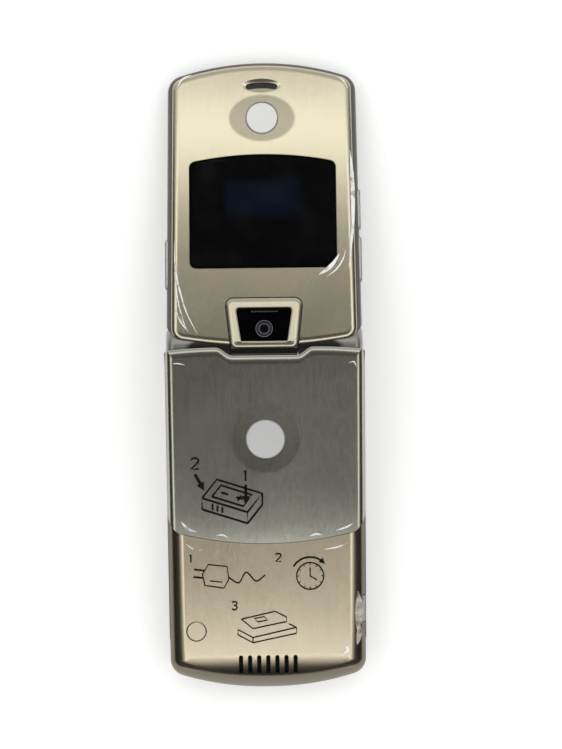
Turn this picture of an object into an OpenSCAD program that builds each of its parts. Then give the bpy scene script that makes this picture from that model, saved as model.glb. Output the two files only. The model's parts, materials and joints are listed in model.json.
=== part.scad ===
// Flip phone with a thin metal shell, open and lying face down like a low tent.
// The lid and the base are each drawn about the hinge axis: x across, y along, z towards
// the outer side. in_lid() and in_base() then tip them onto the table.
// Lengths are in millimetres.

/* [Overall] */
// Width of the base at the hinge
body_w = 53.2; // [51:0.2:56]
// How much each side of the base draws in towards the chin
chin_taper = 0.4; // [0.2:0.1:1]
// How far the base stands out beyond each side of the lid
lid_step = 0.6; // [0.4:0.1:1]
// How much each side of the lid draws in towards its tip
lid_taper = 0.8; // [0.4:0.1:1.2]
// Hinge axis to the end of the chin
base_len = 91.5; // [88:0.5:95]
// Length of the chin beyond the tip of the closed lid
chin_len = 13.7; // [13:0.1:15]
// Thickness of the base between back and keypad face
base_t = 7.2; // [7:0.1:8]
// Thickness of the lid
lid_t = 6.4; // [6.2:0.1:7]
// Angle between the keypad face and the open lid
open_angle = 163; // [155:1:168]

/* [Outline] */
// Radius of the arched chin end
chin_arc_r = 74; // [60:1:100]
// Radius of the arched lid tip
tip_arc_r = 71; // [60:1:100]
// Radius of the lid's bowed edge over the hinge
lip_arc_r = 130; // [100:5:200]
// Corner radius of base and lid in plan
corner_r = 4.8; // [4:0.2:6]
// Radius that rounds the back of the chin end
end_round = 9; // [8:0.2:9.6]
// Radius on the inner edge of the chin
chin_edge = 2.5; // [1.5:0.1:3]
// How far the chin stands above the keypad face
chin_h = 5.3; // [4.5:0.1:6]

/* [Hinge] */
// Back of the base to the hinge axis
axis_depth = 7.3; // [7:0.1:7.8]
// Radius of the knuckles on the base
knuckle_r = 5.8; // [5.4:0.1:5.9]
// Radius of the barrel on the lid
barrel_r = 6.3; // [6:0.1:6.35]
// Width of the barrel
barrel_w = 17.4; // [16:0.2:19]
// Gap at the ends of the barrel and round it
hinge_gap = 0.3; // [0.25:0.05:0.4]
// Gap between the lid and the knuckles
knuckle_gap = 0.2; // [0.15:0.05:0.25]
// Radius of the hinge shaft
shaft_r = 1.6; // [1.2:0.1:2]
// Radius of the hollow tube for the flex
tube_r = 2.4; // [2:0.1:2.8]
// Length of shaft and tube inside a knuckle
shaft_reach = 6; // [4:0.5:9]
// Radius of the hinge cartridge
cartridge_r = 3.4; // [3:0.1:3.8]
// Wall of a knuckle beyond the hinge cartridge
knuckle_wall = 1.4; // [1.2:0.1:2]
// Radial clearance of the turning shaft
run_fit = 0.05; // [0.02:0.01:0.09]

/* [Shells] */
// Thickness of the metal skins
skin_t = 0.8; // [0.6:0.05:0.9]
// Wall of the lid frame
lid_wall = 2.4; // [2.2:0.1:2.8]
// Height of the cover above the lid frame
cover_h = 1.4; // [1.2:0.1:1.6]
// Thickness of the lid's inner cover
inner_t = 1; // [0.8:0.1:1.2]
// Gap between pieces that seat on each other
seat = 0.05; // [0.03:0.01:0.08]
// Gap round pieces let into an opening
inlay = 0.12; // [0.1:0.01:0.18]
// Height of the skirt round the battery door
skirt_h = 2.9; // [2.6:0.1:3.1]
// Gap between the closed faces
closed_gap = 0.3; // [0.25:0.05:0.4]
// Gap between the lid tip and the chin
tip_gap = 0.5; // [0.4:0.1:0.8]
// Thickness of the clear films
film_t = 0.08; // [0.05:0.01:0.12]

/* [Display window] */
// Edge of the cover beside the outer window
window_side = 6.5; // [6:0.1:8]
// Lower edge of the outer window above the hinge axis
window_low = 20; // [18:0.5:22]
// Outer window to the tip of the lid
window_end = 26.3; // [25:0.1:28]
// Height of the arch on the outer window
window_rise = 2.1; // [1.5:0.1:3]
// Edge of the inner cover beside the main window
main_side = 6.5; // [6:0.1:8]
// Main window to the tip of the lid
main_end = 12.8; // [12.5:0.1:15]
// Lower edge of the main window above the hinge axis
main_low = 14.5; // [13.8:0.1:15]

/* [Camera] */
// Length of the camera hump above the hinge axis
hump_len = 11.9; // [11.5:0.1:13]
// Half width of the hump at its far end
hump_top = 10.4; // [10:0.1:11]
// Half width of the hump at the hinge
hump_low = 9; // [8.6:0.1:9.6]
// Rise of the hump above the cover
hump_rise = 0.6; // [0.5:0.05:0.8]
// Camera axis above the hinge axis
camera_y = 3.4; // [3.2:0.1:3.6]
// Radius of the lens ring
lens_r = 2.3; // [2:0.1:2.5]

/* [Badges, slots and plug] */
// Radius of the round plate on the lid
lid_badge_r = 4.35; // [3.5:0.05:5]
// Radius of the round plate on the door
door_badge_r = 5.25; // [4:0.05:6]
// Number of loudspeaker slots
slot_count = 7; // [5:1:9]
// Distance from one slot to the next
slot_pitch = 2.42; // [2.2:0.02:2.6]
// Width of a slot
slot_w = 1.13; // [0.9:0.05:1.3]
// Length of a slot
slot_len = 5; // [4:0.2:5.6]
// Radius of the port plug
plug_r = 2.6; // [2:0.1:3]

/* [Places] */
// Lid tip to the middle of the round plate
lid_badge_from_tip = 16.2; // [15:0.1:18]
// Lid tip to the earpiece slot
slot_from_tip = 7.2; // [6.8:0.1:8]
// Hinge axis to the middle of the round plate on the door
door_badge_from_hinge = 23.9; // [20:0.1:28]
// Chin end to the row of loudspeaker slots
slots_from_end = 7.2; // [7:0.1:8]
// Chin end to the port plug
plug_from_end = 16.3; // [15.5:0.1:18]
// Middle line to the port plug
plug_side = 19; // [17:0.1:19.4]
// Chin end to the middle of the connector
socket_from_end = 21.7; // [20:0.1:24]
// Hinge axis to the middle of the navigation ring
ring_from_hinge = 19.6; // [19:0.1:21]
// Navigation ring to the first digit row
digits_from_ring = 17.8; // [16:0.1:18]
// Last digit row to the wall behind the lid tip
digits_end = 3.6; // [3:0.1:5]
// Hinge axis to the battery
battery_from_hinge = 13.2; // [12.5:0.1:14]
// Wall behind the lid tip to the ends of the door seam
seam_from_wall = 28.8; // [26:0.1:30]
// How much lower the middle of the seam lies
seam_drop = 2.7; // [2:0.1:3.5]
// Length over which the door's sides curve in
arm_len = 13; // [11:0.5:15]
// How far they curve in
arm_in = 4.3; // [3.5:0.1:5]
// Hinge axis to the volume key
volume_from_hinge = 36.4; // [36:0.1:38]
// Length of the volume key
volume_len = 11; // [9:0.5:12]
// Hinge axis to the lower key on the right flank
smart_from_hinge = 22.8; // [22:0.1:23]
// Length of the lower key on the right flank
smart_len = 12.2; // [10:0.2:12.4]
// Hinge axis to the key on the left flank
voice_from_hinge = 21.8; // [21:0.1:24]
// Length of the key on the left flank
voice_len = 13.4; // [11:0.2:14]

/* [Keys] */
// Thickness of a key
key_t = 0.8; // [0.6:0.1:0.9]
// Travel of a keypad key
key_travel = 0.25; // [0.2:0.01:0.3]
// Gap between keys
key_gap = 0.24; // [0.2:0.02:0.3]
// Half width of the middle key column
column_half = 7.8; // [7:0.1:8.5]
// Outer radius of the navigation ring
ring_r = 9.2; // [8.6:0.1:9.4]
// Radius of the select key
select_r = 4.2; // [4:0.1:4.8]
// Gap between the select key and the navigation ring
select_gap = 0.44; // [0.4:0.02:0.5]
// How far the side keys stand out
side_proud = 0.5; // [0.3:0.05:0.6]
// Height of the side keys
side_key_h = 2.2; // [1.8:0.1:2.4]
// How deep the side keys sit in the flank
side_seat = 0.75; // [0.7:0.05:0.9]
// Travel of a pressed side key
side_travel = 0.35; // [0.25:0.05:0.4]

/* [Inside] */
// Base beside the battery
battery_side = 7.6; // [7:0.1:9]
// Battery to the ends of the door seam
battery_end = 1.8; // [1.6:0.1:4]
// Battery thickness
battery_t = 3.8; // [3.6:0.05:3.9]
// Thickness of the dome sheet
dome_t = 0.2; // [0.15:0.01:0.25]
// Base beside the main board
board_side = 4; // [3.8:0.1:5]
// Hinge axis to the main board
board_from_hinge = 8; // [7.6:0.1:9]
// Main board to the wall behind the lid tip
board_end = 4.8; // [4:0.1:6]
// Thickness of the main board
board_t = 0.8; // [0.6:0.05:0.9]
// Thickness of the main display
display_t = 2; // [1.8:0.05:2.1]
// Thickness of the board in the lid
lid_board_t = 0.6; // [0.5:0.05:0.7]

/* [Hidden] */
fine = 64;              // facets of small round features
arc_fine = 180;         // facets of the large outline arcs
layer = 0.01;           // thickness of a slice inside a pillow
draft = 0.04;           // slope of upright moulded walls

// Sizes that follow from others
chin_w = body_w - 2 * chin_taper;
lid_w = body_w - 2 * lid_step;
lid_tip_w = lid_w - 2 * lid_taper;
lid_len = base_len - chin_len - tip_gap;
window_w = lid_w - 2 * window_side;
window_h = lid_len - window_low - window_end;
main_w = lid_w - 2 * main_side;
main_h = lid_len - main_low - main_end;

// Heights in the base, from the keypad face up to the back
back_z = axis_depth;
face_z = axis_depth - base_t;
key_top = face_z + key_t;
dome_z = key_top + key_travel + seat;
board_z = dome_z + dome_t;
board_top = board_z + board_t;
skin_z = back_z - skin_t;
battery_z = skin_z - 3 * seat - battery_t;
skirt_z = back_z - skirt_h;
split_z = face_z + 1.4;         // split between front and rear housing
tub_top = skin_z - 2 * seat;
chin_z = face_z - chin_h;

// Heights in the lid, from its inner face out
lid_in = closed_gap - face_z;
lid_out = lid_in + lid_t;
frame_top = lid_out - cover_h;
inner_top = lid_in + inner_t;
display_z = inner_top + seat;
lid_board_z = display_z + display_t + seat;
outer_display_z = lid_board_z + lid_board_t + seat;
cover_in = lid_out - 0.6;
hump_out = lid_out + hump_rise;
side_key_z = (inner_top + frame_top) / 2 - 0.2;

// Places along the base
chin_y = -lid_len - tip_gap;            // wall that faces the lid tip
seam_y = chin_y + seam_from_wall;       // ends of the door seam
arm_y = seam_y + arm_len;               // where the door's sides start to curve in
block_y = knuckle_r + knuckle_gap;      // nothing of the lid body lies nearer the axis
keypad_top = -block_y - 2.6;
ring_y = -ring_from_hinge;
digit_y = ring_y - digits_from_ring;    // top of the first digit row
keypad_low = chin_y + digits_end;
row_pitch = (digit_y - keypad_low) / 4;
battery_y = -battery_from_hinge;
battery_w = body_w - 2 * battery_side;
battery_len = battery_y - seam_y - battery_end;
board_w = body_w - 2 * board_side;
board_near = -board_from_hinge;
board_far = chin_y + board_end;
cut_r = barrel_r + hinge_gap;           // hollow round the barrel
hub_half = barrel_w / 2 + hinge_gap;    // inner end of a knuckle
knuckle_end = lid_w / 2;                // outer end of a knuckle
cartridge_from = hub_half + 1;          // inner end of the hinge cartridge
cartridge_to = knuckle_end - knuckle_wall;
lid_low = -2.5;
lid_badge_y = lid_len - lid_badge_from_tip;
slot_y = lid_len - slot_from_tip;
door_badge_y = -door_badge_from_hinge;
speaker_slot_y = slots_from_end - base_len;
motor_r = 1.9;
plug_x = -plug_side;
plug_y = plug_from_end - base_len;
socket_y = socket_from_end - base_len;
socket_in = body_w / 2 - 8.6;           // inner end of the connector

// The open phone rests on the chin edge and on the tip of the lid
bend = 180 - open_angle;
rest_a = (base_len - chin_edge) + lid_len * cos(bend) + lid_in * sin(bend);
rest_b = lid_len * sin(bend) - lid_in * cos(bend) + (chin_z + chin_edge);
base_tilt = atan2(rest_b, rest_a) - asin(chin_edge / norm([rest_a, rest_b]));
lid_tilt = bend - base_tilt;
axis_h = lid_len * sin(lid_tilt) - lid_in * cos(lid_tilt);
reach_lid = lid_len * cos(lid_tilt) + (lid_in + 1.4) * sin(lid_tilt);
reach_base = base_len * cos(base_tilt) + (chin_z + chin_edge) * sin(base_tilt);
axis_y = (reach_base - reach_lid) / 2;
echo(axis_y = axis_y, axis_h = axis_h, base_tilt = base_tilt, lid_tilt = lid_tilt);

// ---------- placing ----------
module in_base() translate([0, axis_y, axis_h]) rotate([base_tilt, 0, 0]) children();
module in_lid() translate([0, axis_y, axis_h]) rotate([-lid_tilt, 0, 0]) children();
module mirrored() { children(); mirror([1, 0, 0]) children(); }
module along_x(x0, x1, r) translate([x0, 0, 0]) rotate([0, 90, 0]) cylinder(r = r, h = x1 - x0, $fn = fine);
// Block from one corner to the other
module block(low, high) translate(low) cube(high - low);

// A form drawn as slices [height, inset]; the child is an outline that reads $inset
module pillow(slices)
    hull() for (s = slices) translate([0, 0, s[0]]) linear_extrude(layer) let ($inset = s[1]) children();

module slab(z0, z1) translate([0, 0, z0]) linear_extrude(z1 - z0) children();
module soft_rect(w, h, r) offset(r = r, $fn = 32) square([w - 2 * r, h - 2 * r], center = true);

// ---------- outlines ----------
module lid_plan(inset = 0) {
    r = max(corner_r - inset, 0.8);
    offset(r = r, $fn = 40) offset(delta = -r - inset) intersection() {
        polygon([[-lid_w / 2, lid_low], [lid_w / 2, lid_low], [lid_tip_w / 2, lid_len], [-lid_tip_w / 2, lid_len]]);
        translate([0, lid_len - tip_arc_r]) circle(tip_arc_r, $fn = arc_fine);
        translate([0, lid_low + lip_arc_r]) circle(lip_arc_r, $fn = arc_fine);
    }
}

module base_plan(inset = 0) {
    r = max(corner_r - inset, 0.8);
    offset(r = r, $fn = 40) offset(delta = -r - inset) intersection() {
        polygon([[-body_w / 2, 12], [body_w / 2, 12], [chin_w / 2, -base_len], [-chin_w / 2, -base_len]]);
        translate([0, chin_arc_r - base_len]) circle(chin_arc_r, $fn = arc_fine);
    }
}

// Edge of the base at the hinge: bowed, lowest in the middle
module below_hinge(gap = 0) difference() {
    translate([-50, -150]) square([100, 150 + 0.4 - gap]);
    translate([0, 125 - 1.4 - gap]) circle(125, $fn = arc_fine);
}

// Plan of the battery door, curving in to the seam
module door_plan(gap = 0) {
    half = body_w / 2 + 1;
    end_x = body_w / 2 - arm_in + gap;
    steps = 8;
    side = [for (i = [0:steps]) let (t = 90 * i / steps)
        [end_x + (half - end_x + gap) * cos(t), arm_y + (seam_y - arm_y - gap) * sin(t)]];
    sag = [for (i = [1:steps]) let (x = end_x * (1 - i / steps))
        [x, seam_y - gap - seam_drop * (1 - pow(x / end_x, 2))]];
    right = concat([[half + gap, 3]], side, sag);
    left = [for (i = [len(right) - 2:-1:0]) [-right[i][0], right[i][1]]];
    polygon(concat(right, left));
}

// Window in the lid with its arched upper edge
module window_plan(inset = 0) {
    arc = (pow(window_w / 2, 2) + pow(window_rise, 2)) / (2 * window_rise);
    offset(r = 1.8, $fn = 32) offset(delta = -1.8 - inset) intersection() {
        translate([-window_w / 2, window_low]) square([window_w, window_h]);
        translate([0, window_low + window_h - arc]) circle(arc, $fn = arc_fine);
    }
}

module hump_plan(inset = 0)
    offset(r = 1.6, $fn = 16) offset(delta = -1.6 - inset)
        polygon([[-hump_low, -0.9], [hump_low, -0.9], [hump_top, hump_len], [-hump_top, hump_len]]);

module hump_window_plan(gap = 0)
    offset(r = 0.8 + gap, $fn = 32) offset(delta = -0.8)
        polygon([[2.9 - hump_low, -0.1], [hump_low - 2.9, -0.1], [hump_top - 2.9, hump_len - 2.9], [2.9 - hump_top, hump_len - 2.9]]);

// Slot with round ends, standing along y
module slot(width, length) {
    square([width, length - width], center = true);
    for (end = [-1, 1]) translate([0, end * (length - width) / 2]) circle(width / 2, $fn = 32);
}

// Cuts the back of the chin end to a rounded side profile
module chin_ended() difference() {
    children();
    steps = 12;
    low = split_z - 0.6;
    back = [for (i = [0:steps]) let (t = 90 * i / steps)
        [end_round - base_len - end_round * sin(t), low + (back_z - low) * cos(t)]];
    rotate([90, 0, 90]) translate([0, 0, -50]) linear_extrude(100)
        polygon(concat([[20, back_z + 1]], back, [[-base_len - 5, low], [-base_len - 5, back_z + 1]]));
}

// ---------- lid ----------
frame_slices = [[lid_in, 0.5], [lid_in + 0.4, 0.15], [lid_in + 1.2, 0], [frame_top - 1.6, 0.1], [frame_top - 0.6, 0.45],
    [frame_top - layer, 1]];
cover_slices = [[frame_top + seat, 1.25], [lid_out - 0.75, 1.45], [lid_out - 0.3, 1.8], [lid_out - 0.09, 2.3],
    [lid_out - layer, 3]];

// Everything that turns past the knuckles stays outside this
module knuckle_room() along_x(-50, 50, block_y);

// Flank of the lid at height y along it
function lid_side(y) = lid_w / 2 - (lid_w - lid_tip_w) / 2 * (y - lid_low) / (lid_len - lid_low);

module lid_frame() color("dimgray") in_lid() difference() {
    union() {
        difference() {
            pillow(frame_slices) lid_plan($inset);
            knuckle_room();
        }
        along_x(-barrel_w / 2, barrel_w / 2, barrel_r);
        block([-barrel_w / 2, 0, lid_in], [barrel_w / 2, block_y + 1, frame_top]);
    }
    // bay for the displays
    difference() {
        slab(lid_in - 1, frame_top + 1) lid_plan(lid_wall);
        block([-50, -50, -50], [50, main_low - 0.7, 50]);
    }
    // seat of the inner cover
    difference() {
        slab(lid_in - 1, inner_top + seat) lid_plan(1.1);
        block([-50, -50, -50], [50, block_y + 2 - inlay, 50]);
    }
    // camera, shaft and tube
    translate([0, camera_y, lid_in + 1]) cylinder(r = lens_r + 0.9 + inlay, h = 10, $fn = fine);
    along_x(barrel_w / 2 - shaft_reach + seat, barrel_w, shaft_r);
    along_x(-barrel_w, -barrel_w / 2 + shaft_reach - 1, tube_r);
    side_key_room(volume_from_hinge, volume_len, 1);
    side_key_room(smart_from_hinge, smart_len, 1);
    side_key_room(voice_from_hinge, voice_len, -1);
    screw_places_lid() cylinder(r = 0.8, h = 20, $fn = 24);
}

module lid_cover() color("tan") in_lid() difference() {
    pillow(cover_slices) lid_plan($inset);
    // hollow under the skin
    slab(0, cover_in) lid_plan(2.7);
    knuckle_room();
    slab(0, 20) window_plan(-inlay);
    slab(0, 20) offset(delta = inlay) hump_plan();
    translate([0, lid_badge_y, lid_out - 0.35]) cylinder(r = lid_badge_r + inlay, h = 2, $fn = fine);
    // arched slot in its shallow dish
    translate([0, slot_y, lid_out - 0.2]) scale([5.4, 2, 1]) cylinder(r = 1, h = 2, $fn = fine);
    translate([0, slot_y - 18, cover_in - 1]) rotate_extrude(angle = 24, start = 78, $fn = 128)
        translate([17.2, 0]) square([1.7, 5]);
}

module lid_inner_cover() color("dimgray") in_lid() difference() {
    slab(lid_in, inner_top) lid_plan(1.1 + inlay);
    block([-50, -50, -50], [50, block_y + 2, 50]);
    slab(-5, 20) main_plan(-inlay);
    translate([0, slot_y + 1.4, 0]) rotate([0, 0, 90]) slab(-5, 20) slot(1, 9);
    bumper_places() cylinder(r = 1.5 + seat, h = 10, $fn = 32);
}

module main_plan(inset = 0)
    translate([0, main_low + main_h / 2]) soft_rect(main_w - 2 * inset, main_h - 2 * inset, 2);

module outer_window() color("black") in_lid() pillow([[frame_top + seat, 0], [lid_out - 0.25, draft], [lid_out + 0.02, 0.5]])
    window_plan($inset);

module outer_display() color("midnightblue") in_lid()
    slab(outer_display_z, frame_top - seat) translate([0, window_low + window_h / 2 - 1.5]) soft_rect(window_w - 7, window_h - 7, 1);

module lid_badge() color("gainsboro") in_lid() translate([0, lid_badge_y, 0])
    rotate_extrude($fn = 96) polygon([[0, lid_out - 0.3], [lid_badge_r, lid_out - 0.3], [lid_badge_r, lid_out],
        [lid_badge_r - 0.25, lid_out + 0.15], [0, lid_out + 0.15]]);

module slot_mesh() color("black") in_lid() translate([0, slot_y - 0.3, 0])
    slab(cover_in - seat - 0.3, cover_in - seat) soft_rect(11, 4.4, 1);

module camera_hump() color("tan") in_lid() difference() {
    pillow([[frame_top + seat, 0], [lid_out, draft], [hump_out - 0.25, 0.4], [hump_out - layer, 0.9]]) hump_plan($inset);
    along_x(-50, 50, barrel_r + seat);
    slab(hump_out - 0.45, 20) hump_window_plan(inlay);
    translate([0, camera_y, 0]) cylinder(r = lens_r + 0.1, h = 20, $fn = fine);
}

module camera_window() color("black") in_lid() difference() {
    slab(hump_out - 0.45 + seat, hump_out - 0.05) hump_window_plan();
    translate([0, camera_y, 0]) cylinder(r = lens_r + seat, h = 20, $fn = fine);
}

// Stepped barrel of the camera, with the dished lens in its ring
module camera_module() color("darkslategray") in_lid() translate([0, camera_y, 0])
    rotate_extrude($fn = 96) polygon([[0, lid_in + 1 + seat], [lens_r + 0.9, lid_in + 1 + seat],
        [lens_r + 0.9, frame_top - 0.9], [lens_r, frame_top - 0.9], [lens_r, hump_out - 0.1],
        [lens_r - 0.35, hump_out - 0.1], [lens_r - 0.45, hump_out - 0.35], [1.35, hump_out - 0.5],
        [1.25, hump_out - 0.3], [1.05, hump_out - 0.3], [0.9, hump_out - 0.7], [0, hump_out - 0.6]]);

module main_window() color("black") in_lid() slab(lid_in + 0.1, inner_top) main_plan();

module main_display() color("slategray") in_lid()
    slab(display_z, display_z + display_t) translate([0, main_low + 0.4 + main_h / 2]) soft_rect(main_w, main_h - 2, 1);

module lid_board() color("darkgreen") in_lid()
    slab(lid_board_z, lid_board_z + lid_board_t) translate([0, main_low + main_h / 2]) soft_rect(main_w + 2, main_h - 1, 1);

module earpiece() color("silver") in_lid() translate([0, main_low + main_h + 4.6, display_z])
    cylinder(r = 4.1, h = frame_top - display_z - seat, $fn = fine);

module bumper_places() for (side = [-1, 1]) translate([side * (lid_tip_w / 2 - 5.7), slot_y + 0.4, lid_in - 0.1]) children();
module lid_bumpers() color("black") in_lid() bumper_places() cylinder(r = 1.5, h = inner_t + 0.1, $fn = 32);

module screw_places_lid() for (side = [-1, 1]) translate([side * (lid_w / 2 - 5), main_low - 3.3, inner_top + seat]) children();
module lid_screws() color("silver") in_lid() screw_places_lid() {
    cylinder(r = 0.8, h = frame_top - inner_top - 2 * seat, $fn = 24);
}

module hinge_shaft() color("silver") in_lid() along_x(barrel_w / 2 - shaft_reach + 2 * seat, hub_half + shaft_reach, shaft_r);

module hinge_tube() color("silver") in_lid() difference() {
    along_x(-hub_half - shaft_reach, -barrel_w / 2 + shaft_reach - 1 - seat, tube_r);
    along_x(-50, 50, tube_r - 0.5);
}

// Side keys: y is the middle of the key, side the flank it stands on
module side_key_room(y, length, side)
    translate([side * (lid_side(y) - 0.6), y, side_key_z])
        cube([2 * (side_travel + 0.8), length + 2 * inlay, side_key_h + 2 * inlay], center = true);

module side_key(y, length, side) translate([side * (lid_side(y) + side_proud), y, side_key_z])
    rotate([0, -90 * side, 0]) linear_extrude(side_proud + side_seat) square([side_key_h, length], center = true);

module volume_key() color("gray") in_lid() side_key(volume_from_hinge, volume_len, 1);
module smart_key() color("gray") in_lid() side_key(smart_from_hinge, smart_len, 1);
module voice_key() color("gray") in_lid() side_key(voice_from_hinge, voice_len, -1);

module lid_film() color("white", 0.3) in_lid() slab(lid_out + 0.2, lid_out + 0.2 + film_t) difference() {
    lid_plan(2.4);
    offset(delta = 0.3) hump_plan();
}

// ---------- base ----------
door_slices = [[skirt_z, 0], [back_z - 1.9, 0.1], [back_z - 1.1, 0.45], [back_z - 0.5, 0.95], [back_z - 0.14, 1.6],
    [back_z - layer, 2.4]];
cover_roll = [[split_z + seat, draft], [back_z - 3.4, 0.1], [back_z - 2.3, 0.6], [back_z - 1.3, 1.4], [back_z - 0.6, 2.3],
    [back_z - 0.15, 3.5], [back_z - layer, 4.4]];
// Slices of an edge rounded with radius r above height z
function round_in(z, r) = [for (t = [0:18:90]) [z + r * (1 - cos(t)), r * (1 - sin(t))]];
function grown(slices, by) = [for (s = slices) [s[0], s[1] + by]];

module barrel_room() along_x(-hub_half, hub_half, cut_r);

module rear_housing() color("dimgray") in_base() difference() {
    union() {
        // side band below the skirt
        slab(split_z + seat, skirt_z - 2 * seat) intersection() {
            base_plan();
            translate([-50, chin_y]) square([100, -chin_y - 1]);
        }
        // walls inside the door, stepped in under its rounded edge
        slab(skirt_z - 2 * seat, back_z - 1.9) tub_plan(skin_t + 0.6);
        slab(back_z - 1.9, tub_top) tub_plan(skin_t + 2.1);
        mirrored() knuckle();
    }
    barrel_room();
    slab(split_z - 1, board_top + seat) board_plan(-inlay);
    // battery bay, open to the door
    slab(battery_z - seat, 20) battery_plan(-inlay);
    // well over the board, below the seam
    slab(split_z - 1, 20) intersection() {
        base_plan(lid_wall);
        translate([-50, chin_y + 1.2]) square([100, seam_y - 3 - chin_y]);
    }
    // hinge cartridge and tube bearing
    along_x(cartridge_from, cartridge_to, cartridge_r);
    along_x(0, hub_half + 2, shaft_r + run_fit);
    along_x(-hub_half - shaft_reach - 1, 0, tube_r + run_fit);
    socket_mouth();
    latch(inlay);
    screw_places_base() cylinder(r = 0.9, h = 20, $fn = 24);
}

module tub_plan(inset) intersection() {
    base_plan(inset);
    door_plan(-1.4);
    translate([-50, chin_y]) square([100, -chin_y - 2]);
}

// Knuckle with a rounded outer end and the web that joins it to the housing
module knuckle() {
    r = 2.2;
    steps = 8;
    cap = [for (i = [0:steps]) let (t = 90 * i / steps) [knuckle_r - r + r * cos(t), knuckle_end - r + r * sin(t)]];
    rotate([0, 90, 0]) rotate_extrude($fn = 96) polygon(concat([[0, hub_half], [knuckle_r, hub_half]], cap, [[0, knuckle_end]]));
    block([hub_half, -8, split_z + seat], [body_w / 2 - skin_t - 2.2, 0, tub_top]);
}

module board_plan(inset = 0) translate([0, (board_near + board_far) / 2])
    soft_rect(board_w - 2 * inset, board_near - board_far - 2 * inset, 1);

module battery_plan(inset = 0)
    translate([0, battery_y - battery_len / 2]) soft_rect(battery_w - 2 * inset, battery_len - 2 * inset, 1.2);

module main_board() color("darkgreen") in_base() {
    slab(board_z, board_top) board_plan();
    // shield cans
    can_y = seam_y - seam_drop - 1.8;
    block([0, board_far + 4, board_top], [socket_in, can_y - 0.5, board_top + 1.6]);
    block([-board_w / 2 + 3.1, board_far + 6, board_top], [-2.5, can_y - 0.5, board_top + 1.3]);
}

module battery() color("black") in_base() slab(battery_z, battery_z + battery_t) battery_plan();

module dome_sheet() color("white") in_base() slab(dome_z, board_z) intersection() {
    keypad_plan(0.4);
    board_plan(0.3);
}

module front_housing() color("dimgray") in_base() difference() {
    pillow(concat(round_in(chin_z, chin_edge), [[split_z - layer, draft]])) base_plan($inset);
    // the flat face, which the closed lid covers
    slab(-20, face_z) difference() {
        square(400, center = true);
        chin_zone();
    }
    block([-50, -block_y - 0.1, -20], [50, 50, 20]);
    slab(face_z - 1, 20) keypad_plan();
    slab(dome_z - seat, 20) difference() {
        base_plan(1.8);
        chin_zone(-1);
        translate([-50, -block_y - 1.5]) square(100);
    }
    barrel_room();
    // hollow for the antenna
    slab(chin_z + 1, 20) antenna_plan(1.2);
    microphone_place() translate([0, 0, -10]) cylinder(r = 0.5, h = 30, $fn = 24);
}

module antenna_plan(inset) offset(delta = -inset) intersection() {
    base_plan(0.8);
    chin_zone();
    translate([-50, chin_edge - base_len]) square([100, 50]);
}

// Plan of the chin, with a hollow edge that follows the lid tip
module chin_zone(gap = 0) difference() {
    translate([-50, -120]) square([100, 120 + chin_y + 5]);
    translate([0, chin_y - gap + tip_arc_r]) circle(tip_arc_r, $fn = arc_fine);
}

module antenna() color("black") in_base() slab(chin_z + 1 + seat, split_z - 0.2) antenna_plan(1.4);

module lower_cover() color("tan") in_base() difference() {
    chin_ended() pillow(cover_roll) base_plan($inset);
    // hollow under the skin
    intersection() {
        pillow(grown(concat([[split_z - 1, 0]], cover_roll), 1.1)) base_plan($inset);
        block([-50, 1.2 + chin_edge - base_len, -20], [50, 50, back_z - 1]);
        translate([0, 1.6, -1.1]) chin_ended() block([-50, -100, -20], [50, 50, 20]);
    }
    // the battery door and the side band of the housing
    slab(skirt_z - 20, 20) door_plan(inlay);
    block([-50, chin_y, -20], [50, 50, skirt_z - seat]);
    block([-50, arm_y, -20], [50, 50, 20]);
    // slots over the loudspeaker
    for (i = [0:slot_count - 1]) translate([(i - (slot_count - 1) / 2) * slot_pitch, speaker_slot_y, 2])
        linear_extrude(20) slot(slot_w, slot_len);
    translate([plug_x, plug_y, 0]) cylinder(r = plug_r + inlay, h = 20, $fn = fine);
    socket_mouth();
}

module battery_door() color("tan") in_base() difference() {
    union() {
        intersection() {
            difference() {
                pillow(door_slices) base_plan($inset);
                pillow(grown([for (s = door_slices) [s[0] - skin_t, s[1]]], skin_t)) base_plan($inset);
                slab(skirt_z - 5, skirt_z + 1) base_plan(skin_t);
            }
            slab(-20, 20) intersection() {
                door_plan();
                below_hinge();
            }
        }
        latch();
    }
    barrel_room();
    along_x(-50, 50, knuckle_r + hinge_gap);
    translate([0, door_badge_y, back_z - 0.3]) cylinder(r = door_badge_r + inlay, h = 2, $fn = fine);
    block([-hub_half, -2.3, -20], [hub_half, 20, 20]);
}

// Latch tongue under the seam end of the door
module latch(gap = 0)
    block([-4 - gap, seam_y - 0.8 - gap, skin_z - 1.6 - gap], [4 + gap, seam_y + 0.2 + gap, skin_z + 0.05 + 10 * gap]);

module door_badge() color("gainsboro") in_base() translate([0, door_badge_y, 0])
    rotate_extrude($fn = 96) polygon([[0, back_z - 0.25], [door_badge_r, back_z - 0.25], [door_badge_r, back_z],
        [door_badge_r - 0.25, back_z + 0.12], [0, back_z + 0.12]]);

module door_film() color("white", 0.3) in_base() slab(back_z + 0.15, back_z + 0.15 + film_t) intersection() {
    base_plan(2.6);
    door_plan(-1);
    below_hinge(3.4);
}

module lower_film() color("white", 0.3) in_base() slab(back_z + 0.05, back_z + 0.05 + film_t) intersection() {
    difference() {
        base_plan(4.4);
        door_plan(1);
    }
    translate([-50, end_round - base_len]) square([100, 60]);
}

module port_plug() color("tan") in_base() translate([plug_x, plug_y, 0])
    rotate_extrude($fn = 96) polygon([[0, back_z - 2.4], [1.7, back_z - 2.4], [1.7, back_z - 1.2], [plug_r, back_z - 1],
        [plug_r, back_z - 0.15], [plug_r - 0.2, back_z], [0, back_z]]);

module loudspeaker() color("silver") in_base() translate([0, speaker_slot_y + 1.8, 0])
    slab(split_z + 0.1, back_z - 3.1) soft_rect(20, 8.4, 2);

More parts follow.
